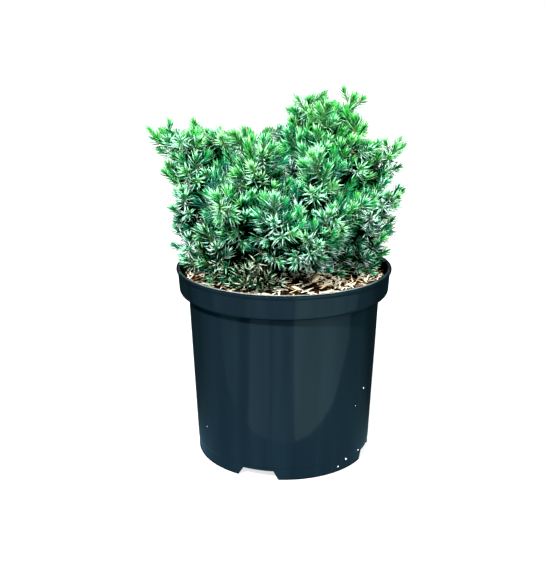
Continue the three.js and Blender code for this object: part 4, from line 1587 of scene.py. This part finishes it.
@dataclass
class Crown:
    """The whole crown: boughs, shoots, twigs and needles."""

    stem: Stem
    mix: PottingMix
    bough_rule: BoughRule = field(default_factory=BoughRule)
    shoot_rule: ShootRule = field(default_factory=ShootRule)
    whorl_rule: WhorlRule = field(default_factory=WhorlRule)
    hollow_rule: HollowRule = field(default_factory=HollowRule)
    seed: int = 5
    wood_start: float = 0.3  # share of a bough where its own needles and twigs start
    wood_age: float = 0.45
    fresh_height: Span = (158.0, 282.0)  # where growth turns from old to fresh
    fresh_reach: float = 85.0  # from the pot's axis, for the freshest growth low in the crown
    fresh_narrowing: float = 0.35  # share of that reach which the freshest growth high up can do without
    fresh_shares: Triple = (0.02, 0.62, 0.26)  # of a shoot's vigour: for all, for height and for reach
    fresh_stray: float = 0.12
    shoot_clearance: float = 0.5
    shoot_tested: Triple = (0.4, 0.7, 1.0)  # shares of a shoot that have to stand clear
    needle_clearance: float = 2.4
    bough_rings: int = 13
    bough_sides: int = 12
    bough_relief: BarkRelief = BarkRelief(0.22, 0.45)
    # Radii of the stems at the foot and at the tip, and the number of rings, by order.
    twig_tubes: tuple[tuple[float, float, int], ...] = ((1.05, 0.4, 12), (0.7, 0.35, 7), (0.5, 0.3, 5))
    twig_sides: int = 6
    # The cover picks the needles painted in shade: the deeper ones take the two darkest tints, and the noise
    # scatters painted shade among needles at the surface too.
    cover_cell: float = 6.0
    cover_cells: int = 5  # in a row outwards from a needle, in which the needles over it are counted
    full_cover: float = 14.5  # needles in such a row
    deep_cover: float = 0.38
    shade_cover: float = 0.72
    cover_noise: float = 0.3
    cover_shares: Span = (1.0, 1.02)  # of the cover that count, low and high in the crown
    shadow: float = 0.75  # painted shadow: added to the cover of a mass in full shadow
    dusk: float = 0.4  # share of its needles painted grey, as painted shadow
    cover_turns: int = 10  # directions all round in which cover is counted
    cover_rises: tuple[float, ...] = (0.0, 0.5, 1.3)
    open_ways: int = 4  # the most open of these directions, by which a needle gets its light

    @cached_property
    def growths(self) -> list[Growth]:
        """The boughs and axes of all masses."""
        return [self.bough_rule.grow(row, self.stem, self.mix.level) for row in CROWN]

    @cached_property
    def shoots(self) -> list[Shoot]:
        """Every stem in the crown that carries needles."""
        draws = np.random.default_rng(self.seed)
        found = []
        for growth in self.growths:
            wood = Shoot(growth.bough, self.wood_start, 3, age=self.wood_age)
            shoots = [*self.shoot_rule.shoots(growth), wood]
            for shoot in shoots:
                shoot.shade = SHADED.get(growth.row.name, 0.0)
            twigs = self.shoot_rule.twigs(shoots, draws)
            found += filter(self.has_room, [*shoots, *twigs])
        fillers = self.hollow_rule.twigs(found, self.shoot_rule, draws)
        LOG.info("%d twigs in hollows", len(fillers))
        found += filter(self.has_room, fillers)
        for shoot in found:
            shoot.vigour = self.vigour(shoot, draws)
        return found

    def has_room(self, shoot: Shoot) -> bool:
        """Tell whether a shoot stays over the mix and the pot's rim."""
        points = shoot.curve.point(np.array(self.shoot_tested))
        return bool((self.mix.clearance(points) > self.shoot_clearance).all())

    def vigour(self, shoot: Shoot, draws: Draws) -> float:
        """Return how fresh a shoot is: more so up in the light and far from the stem."""
        tip = shoot.curve.end
        low, high = self.fresh_height
        lit = np.clip((tip[2] - low) / (high - low), 0, 1)
        outward = np.clip(np.hypot(tip[0], tip[1]) / self.fresh_reach + self.fresh_narrowing * lit, 0, 1)
        least, by_height, by_reach = self.fresh_shares
        fresh = least + by_height * lit + by_reach * outward
        return float(fresh + draws.normal(0.0, self.fresh_stray) - shoot.age)

    @cached_property
    def needles(self) -> Needles:
        """Every needle that stands clear of the potting mix and the rim."""
        draws = np.random.default_rng(self.seed + 1)
        needles = Needles.joined([self.whorl_rule.dress(shoot, draws) for shoot in self.shoots])
        tips = needles.foot + needles.heading * needles.length[:, None]
        middles = needles.foot + needles.heading * needles.length[:, None] / 2
        clear = np.minimum(self.mix.clearance(tips), self.mix.clearance(middles)) > self.needle_clearance
        needles, middles = needles.kept(clear), middles[clear]
        LOG.info("%d needles on %d shoots", len(middles), len(self.shoots))
        # Painted shade: needles under others take darker tints, and a mass's shadow adds painted shadow.
        counted = np.interp(middles[:, 2], self.fresh_height, self.cover_shares)
        cover = self.cover(middles) * counted + self.shadow * needles.shade
        cover = cover + draws.normal(0.0, self.cover_noise, len(middles))
        # Needles that may be painted in shade: all but dry ones, and dry ones too where the cover is deepest.
        may_paint_shade = (needles.tint != Tint.DRY.number) | (cover > self.shade_cover)
        # Painted shadow: some needles of the shaded masses are painted grey.
        shadow_greyed = draws.uniform(0.0, 1.0, len(middles)) < self.dusk * needles.shade
        for tint, least in ((Tint.DEEP, self.deep_cover), (Tint.SHADE, self.shade_cover)):
            needles.tint = np.where(may_paint_shade & (cover > least), tint.number, needles.tint)
        needles.tint = np.where(shadow_greyed, Tint.DUSK.number, needles.tint)
        return needles

    def cover(self, places: np.ndarray) -> np.ndarray:
        """Return how deep in the crown places lie: 0 if open to a side, about 1 under a coat of needles."""
        cell = self.cover_cell
        low = places.min(axis=0) - cell
        shape = np.ceil((places.max(axis=0) - low) / cell).astype(int) + 2
        counts = np.zeros(shape)
        np.add.at(counts, tuple(((places - low) / cell).astype(int).T), 1.0)
        rows = []
        for turn in np.arange(self.cover_turns) * 2 * math.pi / self.cover_turns:
            for rise in self.cover_rises:
                way = unit(np.array([math.sin(turn), -math.cos(turn), rise])) * cell
                ahead = ((places + way * step - low) / cell for step in range(1, self.cover_cells + 1))
                cells = [np.clip(index.astype(int), 0, shape - 1) for index in ahead]
                rows.append(sum(counts[tuple(index.T)] for index in cells))
        return np.sort(rows, axis=0)[: self.open_ways].mean(axis=0) / self.full_cover

    @property
    def foliage_nodes(self) -> list[str]:
        """The construction model's nodes that the needles and twigs stand for."""
        return [f"foliage_{growth.row.name}" for growth in self.growths]

    def build_boughs(self) -> Piece:
        """Build all boughs with the relief of their bark, and return their piece."""
        joined = bmesh.new()
        shares = np.linspace(0, 1, self.bough_rings)
        radii = blend(self.bough_rule.root_radius, self.bough_rule.tip_radius, shares)
        for growth in self.growths:
            shape = limb_shape(growth.bough.point(shares), radii, self.bough_sides)
            self.bough_relief.raise_on(shape)
            part = plain(shape, "bough")
            joined.from_mesh(part)
            bpy.data.meshes.remove(part)
        bark = shaded(joined, "bough_bark", BARK_SHARP)
        boughs = dressed("bough_bark", bark, [FlakingBark("bough_bark").material()])
        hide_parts(*[f"bough_{growth.row.name}" for growth in self.growths])
        return boughs

    def build_twigs(self) -> list[Piece]:
        """Build the stems of the shoots, brown ones and green ones, and return the two pieces."""
        brown, green = Facets(), Facets()
        for shoot in self.shoots:
            if shoot.order >= len(self.twig_tubes):
                continue
            thick, thin, rings = self.twig_tubes[shoot.order]
            shares = np.linspace(0, self.whorl_rule.stops[shoot.order], rings)
            _, normals, binormals = shoot.curve.frame(shares)
            across = np.stack([normals, binormals], axis=1)
            radii = blend(thick, thin, shares)
            facets = brown if shoot.order == 0 else green
            facets.add(*tube(shoot.curve.point(shares), across, radii, self.twig_sides))
        pieces = []
        for name, facets, coat in (
            ("twigs_brown", brown, PlainCoat("twig_brown", "4d3728", 0.8, 0.3)),
            ("twigs_green", green, PlainCoat("twig_green", "66803f", 0.7, 0.3)),
        ):
            piece = dressed(name, facets.mesh(name), [coat.material()])
            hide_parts(*self.foliage_nodes)
            pieces.append(piece)
        return pieces

    def build_needles(self) -> list[Piece]:
        """Build the needles, in pieces by colour, and return the pieces."""
        form = NeedleForm()
        triangles, sides = form.triangles, form.sides
        most = PIECE_TRIANGLES // len(triangles)
        pieces = []
        for number, tint in enumerate(Tint):
            needles = self.needles.kept(self.needles.tint == number)
            finishes = [coat.material() for coat in tint.coats()]
            corners = form.corners(needles)
            for part, start in enumerate(range(0, len(corners), most)):
                name = f"needles_{tint.name.lower()}" + (f"_{part + 1}" if part else "")
                facets = Facets()
                facets.add(corners[start : start + most], triangles, sides)
                piece = dressed(name, facets.mesh(name), finishes)
                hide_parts(*self.foliage_nodes)
                pieces.append(piece)
        return pieces


# ---------------------------------------------------------------- the studio


# Azimuths with the distance of a card's near edge from the pot's axis: it draws back to the sides.
NEAR_EDGE = (
    (-82.0, 900.0),
    (-74.7, 342.3),
    (-71.0, 279.0),
    (-65.1, 218.0),
    (-54.4, 178.8),
    (-41.5, 151.6),
    (-28.1, 134.4),
    (-14.6, 126.5),
    (3.8, 121.8),
    (14.5, 125.2),
    (25.4, 132.4),
    (38.9, 149.8),
    (52.5, 174.8),
    (60.7, 206.6),
    (67.6, 245.4),
    (74.4, 283.8),
    (78.8, 320.6),
    (84.0, 900.0),
)


@dataclass(frozen=True)
class Card:
    """A glowing card on the floor that only glossy surfaces see."""

    # Azimuths in degrees, in rising order, with the card's light at each.
    glow: tuple[tuple[float, Triple], ...]
    height: float
    # Azimuths with the distance of the near edge from the pot's axis at each.
    near: tuple[Span, ...] = ((0.0, 71.0),)
    far: float = 1500.0
    rows: int = 180

    def mesh(self, name: str) -> Mesh:
        """Return the card's mesh, with its light as a colour attribute called glow."""
        shape = bmesh.new()
        layer = shape.verts.layers.float_color.new("glow")
        places, lights = [place for place, _ in self.glow], np.array([light for _, light in self.glow])
        rows = []
        for azimuth in sorted({*np.linspace(places[0], places[-1], self.rows), *places}):
            edges = float(np.interp(azimuth, *zip(*self.near))), self.far
            row = [shape.verts.new(polar(azimuth, radius, self.height) * MM) for radius in edges]
            for corner in row:
                corner[layer] = (*(np.interp(azimuth, places, lights[:, k]) for k in range(3)), 1.0)
            rows.append(row)
        for (a, b), (c, d) in zip(rows, rows[1:]):
            shape.faces.new((a, c, d, b))
        return plain(shape, name)


@dataclass(frozen=True)
class Lamp:
    """A far soft light."""

    name: str
    source: Triple  # the direction that it comes from
    spread: float  # how wide it looks from the plant, in degrees
    strength: float  # the light on a surface that faces it

    def hang(self) -> None:
        """Add the light to the scene."""
        data = bpy.data.lights.new(self.name, "SUN")
        data.angle, data.energy = math.radians(self.spread), self.strength
        light = placed(self.name, data)
        light.rotation_euler = (-Vector(self.source)).to_track_quat("-Z", "Y").to_euler()
        light.visible_glossy = False  # the pot mirrors the cards alone


@dataclass
class Studio:
    """A pale floor, soft lights and the camera."""

    camera_place: Triple = (0.0, -0.72473, 0.35281)
    camera_dip: float = 0.2927  # radians below the horizon
    camera_turn: float = 0.0119  # radians, positive to the left
    lens: float = 59.43
    sensor: float = 36.0
    clip: Span = (0.01, 200.0)
    floor_size: float = 60.0
    floor_colour: str = "999999"
    floor_roughness: float = 0.95
    floor_glow: float = 0.72  # light of its own, which keeps the floor white round the shadow
    black_level: float = 0.004  # what the picture shows as black
    lamps: tuple[Lamp, ...] = (
        Lamp("key", (-0.38, -0.85, 0.9), 6.0, 7.2),
        Lamp("sky", (0.1, 0.1, 1.0), 120.0, 1.4),
        Lamp("fill", (0.6, -0.85, 0.62), 40.0, 3.0),
        Lamp("back", (-0.3, 1.0, 0.6), 90.0, 2.9),
    )
    cards: tuple[Card, ...] = (
        Card(
            height=0.5,
            glow=(
                (-180.0, (0.005, 0.01, 0.01)),
                (-150.0, (0.01, 0.02, 0.025)),
                (-115.0, (0.03, 0.05, 0.06)),
                (-100.0, (0.07, 0.13, 0.17)),
                (-75.0, (0.12, 0.26, 0.38)),
                (0.0, (0.12, 0.3, 0.47)),
                (75.0, (0.12, 0.26, 0.34)),
                (100.0, (0.07, 0.13, 0.15)),
                (115.0, (0.03, 0.05, 0.055)),
                (150.0, (0.01, 0.02, 0.025)),
                (180.0, (0.005, 0.01, 0.01)),
            ),
        ),
        Card(
            height=1.0,
            glow=(
                (-82.0, (0.16, 0.3, 0.42)),
                (-60.0, (0.2, 0.4, 0.52)),
                (-50.0, (0.2, 0.38, 0.5)),
                (-48.5, (0.14, 0.27, 0.37)),
                (-38.0, (0.14, 0.27, 0.37)),
                (-35.0, (0.3, 0.53, 0.7)),
                (-16.0, (0.3, 0.53, 0.7)),
                (-14.0, (0.2, 0.4, 0.54)),
                (-9.0, (0.26, 0.47, 0.62)),
                (-7.0, (0.2, 0.4, 0.54)),
                (10.0, (0.22, 0.42, 0.56)),
                (11.5, (0.47, 0.8, 0.9)),
                (45.0, (0.47, 0.8, 0.9)),
                (84.0, (0.2, 0.38, 0.46)),
            ),
            near=NEAR_EDGE,
        ),
    )

    def place_camera(self) -> None:
        """Add the camera and make it the scene's."""
        data = bpy.data.cameras.new("camera")
        data.lens, data.sensor_width = self.lens, self.sensor
        data.clip_start, data.clip_end = self.clip
        camera = placed("camera", data)
        camera.location = self.camera_place
        camera.rotation_euler = (math.pi / 2 - self.camera_dip, 0.0, self.camera_turn)
        bpy.context.scene.camera = camera

    def lay_floor(self) -> None:
        """Lay the pale floor."""
        shape = bmesh.new()
        bmesh.ops.create_grid(shape, x_segments=1, y_segments=1, size=self.floor_size / 2)
        mesh = plain(shape, "floor")
        floor = placed("floor", mesh)
        material = Shading("floor_white").coat(
            Base_Color=linear(self.floor_colour),
            Roughness=self.floor_roughness,
            Specular_IOR_Level=0.0,
            Emission_Color=WHITE,
            Emission_Strength=self.floor_glow,
        )
        mesh.materials.append(material)
        floor.visible_glossy = floor.visible_diffuse = False

    def lay_card(self, name: str, card: Card) -> None:
        """Lay a card on the floor as an object of some name."""
        mesh = card.mesh(name)
        shading = Shading(name)
        light = shading.add("Attribute", {"attribute_name": "glow"}).outputs["Color"]
        glow = shading.add("Emission", Color=light, Strength=1.0)
        output = shading.tree.nodes["Material Output"]
        shading.feed(output, "Surface", glow.outputs["Emission"])
        mesh.materials.append(shading.material)
        laid = placed(name, mesh)
        laid.visible_camera = laid.visible_diffuse = laid.visible_shadow = laid.visible_transmission = False

    def light(self) -> None:
        """Light the plant, mostly from in front and above, before an even white surround."""
        world = bpy.data.worlds.new("studio")
        world.use_nodes = True
        background = world.node_tree.nodes["Background"]
        background.inputs["Color"].default_value = WHITE
        background.inputs["Strength"].default_value = 1.0
        world.cycles_visibility.diffuse = False
        world.cycles_visibility.glossy = False
        bpy.context.scene.world = world
        for lamp in self.lamps:
            lamp.hang()

    def build(self) -> None:
        """Put up the whole studio."""
        self.place_camera()
        self.lay_floor()
        self.light()
        for number, card in enumerate(self.cards):
            self.lay_card(f"card_{number + 1}", card)
        view = bpy.context.scene.view_settings
        view.view_transform = "Standard"
        view.use_curve_mapping = True
        view.curve_mapping.black_level = (self.black_level,) * 3
        view.curve_mapping.update()


# ---------------------------------------------------------------- the whole


def main() -> None:
    """Build every piece round the frame."""
    logging.basicConfig(level=logging.INFO, format="%(message)s")
    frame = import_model()
    pot = NurseryPot.from_frame()
    pot.build()
    pot.build_specks()
    mix = PottingMix.from_frame(pot)
    filling = frame["nodes"]["potting_mix"]
    filling.data.materials.clear()
    filling.data.materials.append(DampHumus("filling").material())
    mix.build_crust()
    mix.build_chips()
    mix.build_slivers()
    stem = Stem.from_frame()
    stem.build()
    crown = Crown(stem, mix)
    crown.build_boughs()
    crown.build_twigs()
    crown.build_needles()
    Studio().build()


if __name__ == "__main__":
    main()
